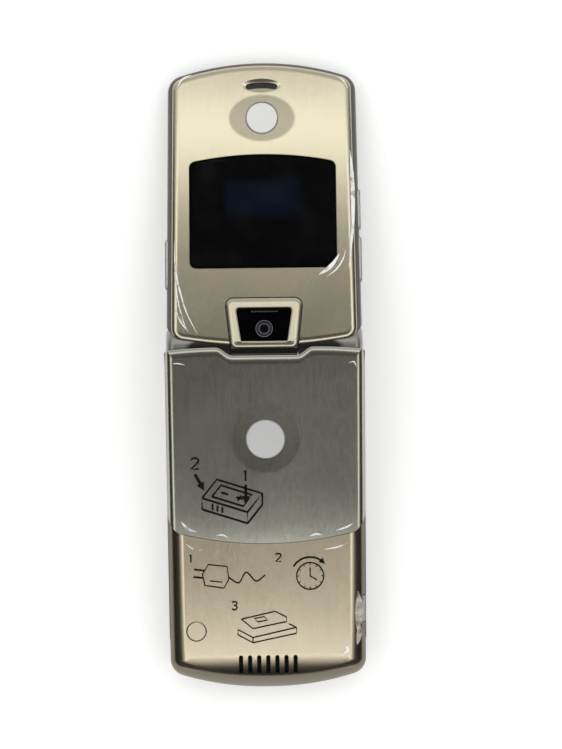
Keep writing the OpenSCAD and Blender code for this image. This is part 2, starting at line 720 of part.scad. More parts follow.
module microphone_place() translate([6, keypad_low - 1.2, 0]) children();
module microphone() color("silver") in_base() microphone_place() translate([0, 0, dome_z]) cylinder(r = 1.1, h = 1.2, $fn = 32);

// Small connector on the flank
module socket_mouth() block([socket_in - 0.4, socket_y - 3.7, board_top + 0.1], [body_w / 2 + 5, socket_y + 3.7, board_top + 3.3]);
module usb_socket() color("silver") in_base() difference() {
    block([socket_in, socket_y - 3.5, board_top + 0.2], [body_w / 2 - 0.6, socket_y + 3.5, board_top + 3.1]);
    block([socket_in + 0.4, socket_y - 3.1, board_top + 0.5], [body_w / 2 + 5, socket_y + 3.1, board_top + 2.8]);
}

module vibration_motor() color("silver") in_base() translate([-9, chin_y + 6, board_top + seat + motor_r])
    rotate([0, 90, 0]) cylinder(r = motor_r, h = 10, $fn = fine);

module screw_places_base() for (side = [-1, 1]) translate([side * (body_w / 2 - 4.4), -9, board_top + 0.2]) children();
module base_screws() color("silver") in_base() screw_places_base() cylinder(r = 0.9, h = tub_top - board_top - 0.6, $fn = 24);

module hinge_cartridge() color("silver") in_base() difference() {
    along_x(cartridge_from + 0.1, cartridge_to - 0.5, cartridge_r);
    along_x(0, hub_half + shaft_reach + 0.1, shaft_r + run_fit);
}

// ---------- keypad ----------
module keypad_plan(inset = 0) intersection() {
    base_plan(3 + inset);
    row_band(60, keypad_low + inset);
    translate([-50, -100]) square([100, 100 + keypad_top - inset]);
}

// Strip between two bowed lines whose lowest points lie at y0 and y1
module row_band(y0, y1) difference() {
    translate([0, y1 + chin_arc_r]) circle(chin_arc_r, $fn = 256);
    translate([0, y0 + chin_arc_r]) circle(chin_arc_r, $fn = 256);
}

module column(x0, x1) translate([x0, -100]) square([x1 - x0, 100]);

module key_plate() slab(face_z - 0.05, key_top) intersection() {
    base_plan(3 + key_gap);
    children();
}

// Digit key: column 1 lies on the user's left, which is +x seen from the back
module digit_key(row, col) color("silver") in_base() key_plate() intersection() {
    row_band(digit_y - row * row_pitch - key_gap / 2, digit_y - (row + 1) * row_pitch + key_gap / 2 + (row == 3 ? key_gap / 2 : 0));
    if (col == 0) column(column_half + key_gap / 2, 40);
    if (col == 1) column(-column_half + key_gap / 2, column_half - key_gap / 2);
    if (col == 2) column(-40, -column_half - key_gap / 2);
}

module ring_room() translate([0, ring_y]) circle(ring_r + key_gap, $fn = 96);

module nav_ring() color("silver") in_base() slab(face_z - 0.05, key_top) translate([0, ring_y]) difference() {
    circle(ring_r, $fn = 96);
    circle(select_r + select_gap, $fn = 96);
}

module select_key() color("silver") in_base() slab(face_z - 0.05, key_top) translate([0, ring_y]) circle(select_r, $fn = 96);

module wing_key(top, low, side) color("silver") in_base() key_plate() difference() {
    intersection() {
        row_band(top - key_gap / 2, low + key_gap / 2);
        keypad_plan(key_gap);
        if (side > 0) column(key_gap / 2, 40);
        if (side < 0) column(-40, -key_gap / 2);
        if (side == 0) column(-column_half + key_gap / 2, column_half - key_gap / 2);
    }
    ring_room();
    if (side != 0 && top < ring_y) column(-column_half - key_gap / 2, column_half + key_gap / 2);
}

wing_top = 60;
wing_mid = ring_y - 6;
module soft_key_left() wing_key(wing_top, wing_mid, 1);
module soft_key_right() wing_key(wing_top, wing_mid, -1);
module send_key() wing_key(wing_mid, digit_y, 1);
module clear_key() wing_key(ring_y - 2, digit_y, 0);
module end_key() wing_key(wing_mid, digit_y, -1);

lid_cover();
lid_frame();
lid_inner_cover();
outer_window();
outer_display();
lid_badge();
slot_mesh();
camera_hump();
camera_window();
camera_module();
main_window();
main_display();
lid_board();
earpiece();
lid_bumpers();
lid_screws();
hinge_shaft();
hinge_tube();
volume_key();
smart_key();
voice_key();
lid_film();
rear_housing();
front_housing();
lower_cover();
battery_door();
door_badge();
door_film();
lower_film();
battery();
port_plug();
main_board();
dome_sheet();
loudspeaker();
microphone();
antenna();
usb_socket();
vibration_motor();
base_screws();
hinge_cartridge();
nav_ring();
select_key();
soft_key_left();
soft_key_right();
send_key();
clear_key();
end_key();
digit_key(0, 0);  // key_1
digit_key(0, 1);  // key_2
digit_key(0, 2);  // key_3
digit_key(1, 0);  // key_4
digit_key(1, 1);  // key_5
digit_key(1, 2);  // key_6
digit_key(2, 0);  // key_7
digit_key(2, 1);  // key_8
digit_key(2, 2);  // key_9
digit_key(3, 0);  // key_star
digit_key(3, 1);  // key_0
digit_key(3, 2);  // key_hash
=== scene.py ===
"""Looks of a thin metal flip phone that lies open, face down, on a pale table."""

import json
import logging
import math
from dataclasses import dataclass, field
from enum import Enum
from typing import Callable, Sequence

import bmesh
import bpy
from mathutils import Matrix, Vector


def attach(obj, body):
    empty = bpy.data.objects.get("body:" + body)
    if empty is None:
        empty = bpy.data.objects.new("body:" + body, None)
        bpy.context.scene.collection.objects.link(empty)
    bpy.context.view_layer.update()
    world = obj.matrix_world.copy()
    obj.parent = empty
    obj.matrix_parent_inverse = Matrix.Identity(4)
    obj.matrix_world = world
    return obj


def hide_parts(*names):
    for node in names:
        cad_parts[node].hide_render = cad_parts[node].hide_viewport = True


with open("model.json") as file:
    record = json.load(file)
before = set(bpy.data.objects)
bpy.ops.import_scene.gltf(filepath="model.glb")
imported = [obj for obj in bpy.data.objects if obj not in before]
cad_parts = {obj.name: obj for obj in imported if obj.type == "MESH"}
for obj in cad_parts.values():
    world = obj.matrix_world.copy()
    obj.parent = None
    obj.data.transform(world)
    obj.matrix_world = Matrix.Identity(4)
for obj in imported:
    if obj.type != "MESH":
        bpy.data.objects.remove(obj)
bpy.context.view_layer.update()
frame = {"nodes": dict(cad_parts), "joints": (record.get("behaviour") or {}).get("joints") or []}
LOG = logging.getLogger("flip_phone")
MM = 0.001
Colour = tuple[float, float, float]
Point = tuple[float, float]
Socket = bpy.types.NodeSocket
Material = bpy.types.Material
Piece = bpy.types.Object
TALL = 20.0  # height, in mm, to which a cutting tool reaches past any piece
WIDE = 50.0  # half width, in mm, of a tool that passes right through


# ---------------------------------------------------------------- places


@dataclass(frozen=True)
class Half:
    """One half of the phone in its own axes: x across, y from the hinge, z outwards, in mm."""

    body: str
    origin: Vector
    tilt: float

    @property
    def matrix(self) -> Matrix:
        """Turns this half's millimetres into the row frame's metres."""
        turn = Matrix.Rotation(self.tilt, 4, "X")
        return Matrix.Translation(self.origin) @ turn @ Matrix.Scale(MM, 4)


def joint(name: str) -> dict:
    """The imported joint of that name."""
    return next(j for j in frame["joints"] if j["name"] == name)


def tilt_of(axis: Sequence[float]) -> float:
    """The turn about x that stands the z axis along this direction."""
    up = Vector(axis)
    up = -up if up.z < 0 else up
    return math.atan2(-up.y, up.z)


HINGE = Vector(joint("lid_hinge")["pos_m"])
BASE = Half("base", HINGE, tilt_of(joint("nav_ring_press")["axis"]))
LID = Half("lid", HINGE, tilt_of(joint("volume_rock")["axis"]))
DOOR = Half("battery_door", HINGE, BASE.tilt)


def linked(name: str, bm: bmesh.types.BMesh) -> Piece:
    """Turns a finished bmesh into an object of the scene.

    Args:
        name: Its name.
        bm: Its faces; it is freed.

    Returns:
        The object.
    """
    mesh = bpy.data.meshes.new(name)
    bm.to_mesh(mesh)
    bm.free()
    piece = bpy.data.objects.new(name, mesh)
    bpy.context.scene.collection.objects.link(piece)
    return piece


def circle_points(x: float, y: float, r: float, steps: int = 64) -> list[Point]:
    """Points of a circle."""
    turns = [2 * math.pi * i / steps for i in range(steps)]
    return [(x + r * math.cos(a), y + r * math.sin(a)) for a in turns]


# ---------------------------------------------------------------- shader maths


class Value:
    """A number in a material's nodes. Sums and products of values add Math nodes."""

    def __init__(self, shader: "Shader", socket: Socket) -> None:
        """Wraps a socket of the shader's tree."""
        self.shader = shader
        self.socket = socket

    def _math(self, kind: str, *others: "Value | float") -> "Value":
        """One Math node on this value and the others."""
        inputs = dict(enumerate((self, *others)))
        return Value(self.shader, self.shader.node("ShaderNodeMath", {"operation": kind}, inputs).outputs[0])

    def __add__(self, other: "Value | float") -> "Value":
        """Sum."""
        return self._math("ADD", other)

    __radd__ = __add__

    def __mul__(self, other: "Value | float") -> "Value":
        """Product."""
        return self._math("MULTIPLY", other)

    __rmul__ = __mul__

    def __sub__(self, other: "Value | float") -> "Value":
        """Difference."""
        return self._math("SUBTRACT", other)

    def __rsub__(self, other: float) -> "Value":
        """Difference from a number."""
        node = self.shader.node("ShaderNodeMath", {"operation": "SUBTRACT"}, {0: other, 1: self})
        return Value(self.shader, node.outputs[0])

    def __truediv__(self, other: "Value | float") -> "Value":
        """Quotient."""
        return self._math("DIVIDE", other)

    def power(self, exponent: float) -> "Value":
        """This value raised to a power."""
        return self._math("POWER", exponent)

    def most(self, other: "Value | float") -> "Value":
        """The larger of two values."""
        return self._math("MAXIMUM", other)

    def step(self, start: float, end: float) -> "Value":
        """Rises smoothly from 0 at start to 1 at end.

        Args:
            start: Value that gives 0.
            end: Value that gives 1; it may lie below start.

        Returns:
            The smooth step.
        """
        node = self.shader.node(
            "ShaderNodeMapRange",
            {"interpolation_type": "SMOOTHSTEP", "clamp": True},
            {"Value": self, "From Min": start, "From Max": end, "To Min": 0.0, "To Max": 1.0},
        )
        return Value(self.shader, node.outputs["Result"])


class Shader:
    """The node tree of one material while it is made."""

    def __init__(self, name: str, world: bool = False) -> None:
        """Starts an empty material, or an empty world.

        Args:
            name: Its name.
            world: True for a world.
        """
        self.material = (bpy.data.worlds if world else bpy.data.materials).new(name)
        self.material.use_nodes = True
        self.tree = self.material.node_tree
        self.tree.nodes.clear()
        self.output = self.node("ShaderNodeOutputWorld" if world else "ShaderNodeOutputMaterial")

    def node(self, kind: str, settings: dict | None = None, inputs: dict | None = None) -> bpy.types.Node:
        """Adds a node.

        Args:
            kind: The node's type.
            settings: Its properties, or a ramp's stops under "stops", set first.
            inputs: Its sockets by name or number, each with a value, a link or a socket.

        Returns:
            The node.
        """
        node = self.tree.nodes.new(kind)
        for key, value in (settings or {}).items():
            if key == "stops":
                ramp = node.color_ramp.elements
                while len(ramp) > 1:
                    ramp.remove(ramp[-1])
                for i, (place, colour) in enumerate(value):
                    stop = ramp[0] if i == 0 else ramp.new(place)
                    stop.position, stop.color = place, (*colour, 1.0)
            else:
                setattr(node, key, value)
        for key, value in (inputs or {}).items():
            socket = node.inputs[key]
            if isinstance(value, Value):
                self.tree.links.new(value.socket, socket)
            elif isinstance(value, Socket):
                self.tree.links.new(value, socket)
            elif isinstance(value, tuple) and socket.type == "RGBA" and len(value) == 3:
                socket.default_value = (*value, 1.0)
            else:
                socket.default_value = value
        return node

    def place(self, half: Half) -> Socket:
        """The half's own coordinates in mm, at rest, on any piece that lies at the origin."""
        raw = self.node("ShaderNodeTexCoord").outputs["Object"]
        where = {"Location": tuple(half.origin), "Rotation": (half.tilt, 0.0, 0.0), "Scale": (MM, MM, MM)}
        return self.node("ShaderNodeMapping", {"vector_type": "TEXTURE"}, {"Vector": raw, **where}).outputs[0]

    def axes(self, vector: Socket) -> tuple[Value, Value, Value]:
        """The three parts of a vector."""
        parts = self.node("ShaderNodeSeparateXYZ", None, {0: vector}).outputs
        return Value(self, parts[0]), Value(self, parts[1]), Value(self, parts[2])

    def stretched(self, vector: Socket, scale: Point | tuple) -> Socket:
        """A vector with each axis times its own number."""
        node = self.node("ShaderNodeVectorMath", {"operation": "MULTIPLY"}, {0: vector, 1: tuple(scale)})
        return node.outputs[0]

    def noise(self, vector: Socket, scale: float, detail: float = 3.0, rough: float = 0.5) -> Value:
        """Soft noise from 0 to 1."""
        inputs = {"Vector": vector, "Scale": scale, "Detail": detail, "Roughness": rough}
        return Value(self, self.node("ShaderNodeTexNoise", None, inputs).outputs[0])

    def mix(self, share: Value | float, a: Colour | Socket, b: Colour | Socket) -> Socket:
        """Two colours mixed by a share."""
        settings = {"data_type": "RGBA", "blend_type": "MIX", "clamp_factor": True}
        return self.node("ShaderNodeMix", settings, {0: share, 6: a, 7: b}).outputs[2]

    def bump(self, height: Value, depth: float, normal: Socket | None = None) -> Socket:
        """A normal from a height.

        Args:
            height: The height.
            depth: What a height of 1 stands for, in metres.
            normal: The normal it starts from.

        Returns:
            The new normal.
        """
        inputs = {"Height": height, "Distance": depth, "Strength": 1.0}
        if normal is not None:
            inputs["Normal"] = normal
        return self.node("ShaderNodeBump", None, inputs).outputs[0]

    def veil(self, share: Value | float, shader: bpy.types.Node) -> bpy.types.Node:
        """A shader that covers a clear sheet by a share."""
        clear = self.node("ShaderNodeBsdfTransparent")
        return self.node("ShaderNodeMixShader", None, {0: share, 1: clear.outputs[0], 2: shader.outputs[0]})

    def surface(self, **inputs: object) -> bpy.types.Node:
        """A Principled shader, its sockets named with _ for a space."""
        named = {key.replace("_", " "): value for key, value in inputs.items()}
        return self.node("ShaderNodeBsdfPrincipled", None, named)

    def finish(self, shader: bpy.types.Node) -> Material:
        """Connects the last shader and gives the material."""
        self.tree.links.new(shader.outputs[0], self.output.inputs["Surface"])
        return self.material


# ---------------------------------------------------------------- finishes


@dataclass(frozen=True)
class BrushedMetal:
    """Coated sheet metal with a fine grain along the phone."""

    name: str
    colour: Colour
    deep: Colour
    half: Half
    rough: float = 0.27
    grain: float = 0.9
    relief: float = 6.0e-6
    metallic: float = 1.0
    swell: tuple[float, float, float, float, float] | None = None
    # painted shade: foot, top and kept brightness of a darkening towards the rolled flank
    edge: tuple[float, float, float] | None = None
    # painted shade: middle, half sizes and kept brightness of a dark patch
    painted_shade_patch: tuple[float, float, float, float, float] | None = None

    def shaded(self, s: Shader, place: Socket, colour: Socket) -> Socket:
        """Paints shade: darkens the rolled flank below a height, and a patch round a plate or along the hinge
        gap.

        Args:
            s: The material under work.
            place: Place on the half in mm.
            colour: The metal's colour.

        Returns:
            The colour with both.
        """
        x, y, z = s.axes(place)
        # painted shade: the colour darkens below a height, where the rolled flank mirrors dark surroundings
        if self.edge:
            low, high, least = self.edge
            colour = s.mix(1.0 - z.step(low, high), colour, tuple(c * least for c in self.colour))
        # painted shade: a dark patch round a plate or along the hinge gap
        if self.painted_shade_patch:
            cx, cy, rx, ry, least = self.painted_shade_patch
            dx, dy = (x - cx) / rx, (y - cy) / ry
            inside = (dx * dx + dy * dy).power(0.5).step(1.06, 0.94) * z.step(1.0, 4.0)
            colour = s.mix(inside * (1.0 - least), colour, (0.0, 0.0, 0.0))
        return colour

    def bulge(self, s: Shader, y: Value) -> Socket | None:
        """The slow bow of the sheet along the phone.

        Args:
            s: The material under work.
            y: Place along the phone in mm.

        Returns:
            A normal, or None where the sheet is flat.
        """
        if self.swell is None:
            return None
        start, span, first, rise, bend = self.swell
        u = (y - start) / span
        curve = u * first + u.most(0.0).power(bend + 1) * (rise / (bend + 1))
        height = curve * (-abs(span) * math.pi / 180)
        return s.bump(height, MM)

    def make(self) -> Material:
        """The material."""
        s = Shader(self.name)
        place = s.place(self.half)
        fine = s.noise(s.stretched(place, (5.0, 0.6, 5.0)), 1.0, 3.0, 0.6)
        coarse = s.noise(s.stretched(place, (1.2, 0.05, 1.2)), 1.0, 3.0, 0.6)
        cloud = s.noise(place, 0.045, 2.0)
        share = (fine - 0.5) * self.grain + (coarse - 0.5) * 0.22 + (cloud - 0.5) * 0.6 + 0.5
        colour = self.shaded(s, place, s.mix(share, self.deep, self.colour))
        rough = (cloud - 0.5) * 0.06 + (fine - 0.5) * 0.1 + self.rough
        shader = s.surface(
            Base_Color=colour, Metallic=self.metallic, Roughness=rough,
            Normal=s.bump(fine + coarse * 0.2, self.relief, self.bulge(s, s.axes(place)[1])),
        )
        return s.finish(shader)


@dataclass(frozen=True)
class SpunMetal:
    """Pale disc with a fine circular grain and a darker turned rim."""

    name: str
    half: Half
    disc: tuple[float, float, float]
    colour: Colour = (0.75, 0.75, 0.74)

    def make(self) -> Material:
        """The material."""
        s = Shader(self.name)
        x, y, _ = s.axes(s.place(self.half))
        cx, cy, radius = self.disc
        dx, dy = x - cx, y - cy
        r = (dx * dx + dy * dy).power(0.5)
        rings = s.noise(s.node("ShaderNodeCombineXYZ", None, {0: r, 1: 0.0, 2: 0.0}).outputs[0], 9.0, 2.0)
        edge = r.step(radius - 0.42, radius - 0.12)
        dark = tuple(c * 0.42 for c in self.colour)
        return s.finish(s.surface(
            Base_Color=s.mix(edge, self.colour, dark), Metallic=0.75,
            Roughness=(rings - 0.5) * 0.16 + 0.36, Normal=s.bump(rings, 2.0e-6),
        ))


@dataclass(frozen=True)
class Moulded:
    """Painted or plain moulded plastic with a fine satin texture."""

    name: str
    colour: Colour
    rough: float = 0.45
    relief: float = 4.0e-6
    metallic: float = 0.0
    cell: float = 0.18
    gloss: float = 0.5

    def make(self) -> Material:
        """The material."""
        s = Shader(self.name)
        raw = s.node("ShaderNodeTexCoord").outputs["Object"]
        tex = s.noise(raw, 1.0 / (self.cell * MM), 2.0)
        wide = s.noise(raw, 90.0, 2.0)
        share = (wide - 0.5) * 0.5 + (tex - 0.5) * 0.2 + 0.5
        dark, light = (tuple(min(1.0, c * k) for c in self.colour) for k in (0.82, 1.18))
        return s.finish(s.surface(
            Base_Color=s.mix(share, dark, light), Metallic=self.metallic,
            Roughness=(wide - 0.5) * 0.14 + (tex - 0.5) * 0.1 + self.rough,
            Normal=s.bump(tex, self.relief), Specular_IOR_Level=self.gloss,
        ))


@dataclass(frozen=True)
class DarkGlass:
    """Black window glass with a faint panel behind it."""

    name: str
    half: Half
    panel: tuple[float, float, float, float] | None = None
    tint: Colour = (0.0015, 0.0035, 0.009)
    back: Colour = (0.0008, 0.0008, 0.001)

    def make(self) -> Material:
        """The material."""
        s = Shader(self.name)
        place = s.place(self.half)
        x, y, _ = s.axes(place)
        dust = s.noise(place, 0.4, 3.0)
        colour: Colour | Socket = self.back
        if self.panel:
            x0, x1, y0, y1 = self.panel
            inside = x.step(x0 - 0.6, x0 + 0.6) * x.step(x1 + 0.6, x1 - 0.6)
            inside = inside * y.step(y0 - 1.2, y0 + 1.2) * y.step(y1 + 0.6, y1 - 0.6)
            colour = s.mix(inside, self.back, self.tint)
        return s.finish(s.surface(
            Base_Color=s.mix((dust - 0.66).most(0.0) * 0.1, colour, (0.1, 0.1, 0.1)),
            Roughness=dust * 0.05 + 0.05, Specular_IOR_Level=0.01,
        ))


@dataclass(frozen=True)
class CircuitBoard:
    """Green solder mask over copper tracks."""

    name: str = "board_green"

    def make(self) -> Material:
        """The material."""
        s = Shader(self.name)
        raw = s.node("ShaderNodeTexCoord").outputs["Object"]
        lines = s.node("ShaderNodeTexBrick", {"offset": 0.37}, {
            "Vector": raw, "Scale": 900.0, "Mortar Size": 0.06, "Color1": (0.01, 0.09, 0.04),
            "Color2": (0.012, 0.12, 0.05), "Mortar": (0.03, 0.2, 0.08)}).outputs[0]
        shader = s.surface(Base_Color=lines, Roughness=s.noise(raw, 700.0) * 0.2 + 0.3)
        return s.finish(shader)


@dataclass(frozen=True)
class ClearFilm:
    """Thin clear plastic sheet: nearly unseen where flat, glossy where it turns away."""

    name: str
    half: Half
    gloss: float = 0.0005
    turned: float = 0.25

    def make(self) -> Material:
        """The material."""
        s = Shader(self.name)
        edge = Value(s, s.node("ShaderNodeLayerWeight", None, {"Blend": 0.5}).outputs["Facing"])
        haze = s.noise(s.place(self.half), 0.12, 3.0)
        shine = s.surface(Base_Color=(0.95, 0.96, 0.97), Metallic=1.0, Roughness=haze * 0.08 + 0.04)
        share = edge.power(4.0) * self.turned + (haze - 0.5).most(0.0) * 0.01 + self.gloss
        return s.finish(s.veil(share, shine))


@dataclass(frozen=True)
class PaintedGlint:
    """Painted highlight: white streaks on folds and torn edges of the film, standing in for their glints,
    fading along its length.
    """

    name: str
    half: Half
    strength: float = 0.8
    fade: Point = (0.2, 0.55)
    colour: Colour = (0.95, 0.95, 0.93)

    def make(self) -> Material:
        """The material."""
        s = Shader(self.name)
        # painted highlight: a white veil, patchy along the strokes
        share = s.noise(s.place(self.half), 0.35, 2.0).step(*self.fade) * self.strength
        white = s.surface(Base_Color=self.colour, Roughness=0.25)
        return s.finish(s.veil(share, white))


@dataclass(frozen=True)
class Ink:
    """Printing ink, a little uneven."""

    name: str
    colour: Colour
    half: Half

    def make(self) -> Material:
        """The material."""
        s = Shader(self.name)
        worn = s.noise(s.place(self.half), 3.0, 2.0).step(0.6, 0.85)
        light = tuple(min(1.0, c + 0.04) for c in self.colour)
        return s.finish(s.surface(
            Base_Color=s.mix(worn, self.colour, light), Roughness=worn * 0.2 + 0.45, Specular_IOR_Level=0.1))


# ---------------------------------------------------------------- studio


@dataclass
class Studio:
    """Pale table, soft light and the camera straight above the phone."""

    distance: float = 0.8
    scale: float = 3.765
    look_at: tuple[float, float] = (0.0043, -0.0002)
    roll: float = -0.7
    image: tuple[int, int] = (562, 749)
    narrow: float = 0.9  # how much less the sky changes across than along
    ring: tuple[float, float, int] = (0.9, 1.25, 48)  # radius, height and parts of the dark ring
    lid_side: tuple[Point, ...] = (
        (0.0, 0.1), (14.0, 0.11), (16.5, 0.14), (18.5, 0.26), (20.6, 0.44), (22.0, 0.64), (24.0, 1.05),
        (26.0, 1.6), (27.5, 1.8), (31.0, 1.8), (32.4, 1.35), (34.2, 1.0), (50.0, 1.1), (89.0, 1.15))
    chin_side: tuple[Point, ...] = (
        (0.0, 0.08), (12.0, 0.1), (14.0, 0.14), (15.2, 0.23), (20.0, 0.37), (22.0, 0.54), (24.0, 0.92),
        (26.0, 1.35), (27.5, 1.75), (29.0, 1.95), (31.5, 1.95), (35.0, 1.0), (50.0, 1.1), (89.0, 1.15))

    def table(self) -> None:
        """The table top."""
        bm = bmesh.new()
        bmesh.ops.create_grid(bm, x_segments=8, y_segments=8, size=3.0)
        top = linked("table_top", bm)
        s = Shader("table_paint")
        path = s.node("ShaderNodeLightPath").outputs
        seen = Value(s, path["Is Camera Ray"]).most(Value(s, path["Is Glossy Ray"])).most(
            Value(s, path["Is Transmission Ray"]))
        shader = s.surface(Base_Color=(0.9, 0.9, 0.905), Roughness=0.9, Specular_IOR_Level=0.1)
        glow = s.node("ShaderNodeEmission", None, {"Color": (1.0, 1.0, 1.0), "Strength": seen * 0.22})
        both = s.node("ShaderNodeAddShader", None, {0: shader.outputs[0], 1: glow.outputs[0]})
        top.data.materials.append(s.finish(both))

    def world(self) -> None:
        """A pale sky, dark straight above, where the camera hangs, with a bright band towards either end."""
        s = Shader("sky", world=True)
        x, y, _ = s.axes(s.node("ShaderNodeTexCoord").outputs["Generated"])
        out = (x * x * self.narrow + y * y).power(0.5)
        bands = []
        for levels in (self.lid_side, self.chin_side):
            stops = tuple((math.sin(math.radians(a)), (v / 4, v / 4, v / 4 * 0.985)) for a, v in levels)
            bands.append(s.node("ShaderNodeValToRGB", {"stops": stops}, {0: out}).outputs[0])
        colour = s.mix(y.step(0.02, -0.02), *bands)
        ground = s.node("ShaderNodeBackground", None, {"Color": colour, "Strength": 4.0})
        s.finish(ground)
        bpy.context.scene.world = s.material

    def flags(self) -> None:
        """A dark ring round the table, out of the picture, that gives rolled metal edges their dark flank."""
        radius, height, parts = self.ring
        circle = circle_points(0, 0, 1, parts)
        ring = [[Vector((radius * x, radius * y, z)) for x, y in circle] for z in (0.0, height)]
        bm = bmesh.new()
        low, high = [[bm.verts.new(p) for p in row] for row in ring]
        for i in range(parts):
            k = (i + 1) % parts
            bm.faces.new((low[i], low[k], high[k], high[i]))
        flag = linked("dark_ring", bm)
        flag.visible_camera = flag.visible_diffuse = flag.visible_shadow = False
        s = Shader("dark_cloth")
        _, y, z = s.axes(s.node("ShaderNodeTexCoord").outputs["Object"])
        share = z.step(1.2, 0.6) * (1.0 - y.step(0.2, 0.7) * 0.55)
        cloth = s.surface(Base_Color=(0.03, 0.03, 0.03), Roughness=1.0)
        flag.data.materials.append(s.finish(s.veil(share, cloth)))

    def camera(self) -> None:
        """The camera, straight above, at the photograph's scale."""
        data = bpy.data.cameras.new("camera")
        camera = bpy.data.objects.new("camera", data)
        data.sensor_width = 36.0
        data.lens = 36.0 * self.distance * self.scale / (self.image[1] * MM)
        camera.location = (*self.look_at, self.distance + 0.015)
        camera.rotation_euler = (0.0, 0.0, math.radians(self.roll))
        bpy.context.scene.collection.objects.link(camera)
        bpy.context.scene.camera = camera

    def build(self) -> None:
        """Everything that isn't the phone."""
        self.camera()
        self.table()
        self.world()
        self.flags()
        bpy.context.scene.view_settings.view_transform = "Standard"


# ---------------------------------------------------------------- dressing


class Slot(Enum):
    """Names of the record's material slots, one for each kind of finish of the scene's own pieces."""

    CHAMPAGNE = "champagne_metal"
    DOOR = "door_metal"
    GLASS = "black_glass"
    KEY = "key_metal"
    SIDE_KEY = "side_key_metal"
    PLASTIC = "black_plastic"
    FILM = "clear_film"


def dress(material: Material, *names: str) -> None:
    """Gives CAD nodes a finish."""
    for name in names:
        slots = frame["nodes"][name].data.materials
        if len(slots) == 0:
            slots.append(material)
        for i in range(len(slots)):
            slots[i] = material


KEY_NODES = [n for n in frame["nodes"] if n.startswith("key_") or n in (
    "nav_ring", "select_key", "soft_key_left", "soft_key_right", "send_key", "clear_key", "end_key")]


# ---------------------------------------------------------------- outlines


class Plan:
    """An outline seen from above; ring() gives it drawn in by an inset, always with as many points."""

    def ring(self, inset: float) -> list[Point]:
        """Its points, counter-clockwise."""
        raise NotImplementedError

    def spread(self, inset: float, z: float) -> list[Vector]:
        """The ring at a height."""
        return [Vector((x, y, z)) for x, y in self.ring(inset)]


@dataclass(frozen=True)
class BowedPlan(Plan):
    """Two straight flanks between two bowed ends, with round corners."""

    low_half: float
    low_y: float
    low_arc: float
    high_half: float
    high_y: float
    high_arc: float
    corner: float
    counts: tuple[int, int, int, int, int] = (20, 9, 14, 9, 24)

    def ring(self, inset: float) -> list[Point]:
        """Its points, counter-clockwise from the middle of the low end.

        Args:
            inset: How far the outline is drawn in.

        Returns:
            The points, always as many.
        """
        round_r = max(self.corner - inset, 0.8)
        shift = round_r + inset
        along = Vector((self.high_half - self.low_half, self.high_y - self.low_y)).normalized()
        normal = Vector((along.y, -along.x))
        start = Vector((self.low_half, self.low_y)) - normal * shift
        low_mid = Vector((0.0, self.low_y + self.low_arc))
        high_mid = Vector((0.0, self.high_y - self.high_arc))

        def meet(centre: Vector, radius: float, sign: float) -> Vector:
            """Where the shifted flank meets a circle.

            Args:
                centre: The circle's middle.
                radius: Its radius.
                sign: 1 for the farther point, -1 for the nearer.

            Returns:
                The point.
            """
            off = start - centre
            b = off.dot(along)
            root = math.sqrt(max(b * b - off.dot(off) + radius * radius, 0.0))
            return start + along * (-b + sign * root)

        low_c = meet(low_mid, self.low_arc - shift, -1.0)
        high_c = meet(high_mid, self.high_arc - shift, 1.0)
        flank_a = math.atan2(normal.y, normal.x)
        low_a = math.atan2(low_c.y - low_mid.y, low_c.x - low_mid.x)
        high_a = math.atan2(high_c.y - high_mid.y, high_c.x - high_mid.x)

        def arc(centre: Vector, radius: float, a0: float, a1: float, steps: int) -> list[Vector]:
            """Points of an arc."""
            angles = (a0 + (a1 - a0) * i / steps for i in range(steps + 1))
            return [centre + Vector((math.cos(a), math.sin(a))) * radius for a in angles]

        n = self.counts
        half = arc(low_mid, self.low_arc - inset, -math.pi / 2, low_a, n[0])
        half += arc(low_c, round_r, low_a, flank_a, n[1])[1:]
        first, last = half[-1], high_c + normal * round_r
        half += [first.lerp(last, i / n[2]) for i in range(1, n[2] + 1)]
        half += arc(high_c, round_r, flank_a, high_a, n[3])[1:]
        half += arc(high_mid, self.high_arc - inset, high_a, math.pi / 2, n[4])[1:]
        right = [(p.x, p.y) for p in half]
        return right + [(-x, y) for x, y in right[-2:0:-1]]


@dataclass(frozen=True)
class CornerPlan(Plan):
    """A convex outline of straight sides with round corners, given counter-clockwise."""

    points: tuple[Point, ...]
    corner: float
    steps: int = 6

    def ring(self, inset: float) -> list[Point]:
        """Its points, counter-clockwise.

        Args:
            inset: How far the outline is drawn in.

        Returns:
            The points, always as many.
        """
        round_r = max(self.corner - inset, 0.05)
        shift = round_r + inset
        count = len(self.points)
        sides = []
        for i, a in enumerate(self.points):
            along = (Vector(self.points[(i + 1) % count]) - Vector(a)).normalized()
            normal = Vector((along.y, -along.x))
            sides.append((Vector(a) - normal * shift, along, normal))
        out: list[Point] = []
        for i in range(count):
            (p, d, n), (q, e, m) = sides[i - 1], sides[i]
            cross = d.x * e.y - d.y * e.x
            t = ((q.x - p.x) * e.y - (q.y - p.y) * e.x) / cross
            centre = p + d * t
            a0, a1 = math.atan2(n.y, n.x), math.atan2(m.y, m.x)
            a1 += 2 * math.pi if a1 < a0 else 0.0
            for k in range(self.steps + 1):
                a = a0 + (a1 - a0) * k / self.steps
                out.append((centre.x + round_r * math.cos(a), centre.y + round_r * math.sin(a)))
        return out


def rounded_edge(inset: float, z: float, width: float, height: float, steps: int = 9,
                 power: float = 2.0) -> list[tuple[float, float]]:
    """A rounded edge from an upright wall to a flat top.

    Args:
        inset: Inset at its foot.
        z: Height of its foot.
        width: How far it draws in.
        height: How far it rises.
        steps: Number of parts.
        power: 2 for an ellipse, less for a flatter edge.

    Returns:
        Pairs of inset and height, foot first.
    """
    bend = 2 / power
    turns = [math.pi / 2 * i / steps for i in range(steps + 1)]
    return [(inset + width * (1 - math.cos(a) ** bend), z + height * math.sin(a) ** bend) for a in turns]


# ---------------------------------------------------------------- solids


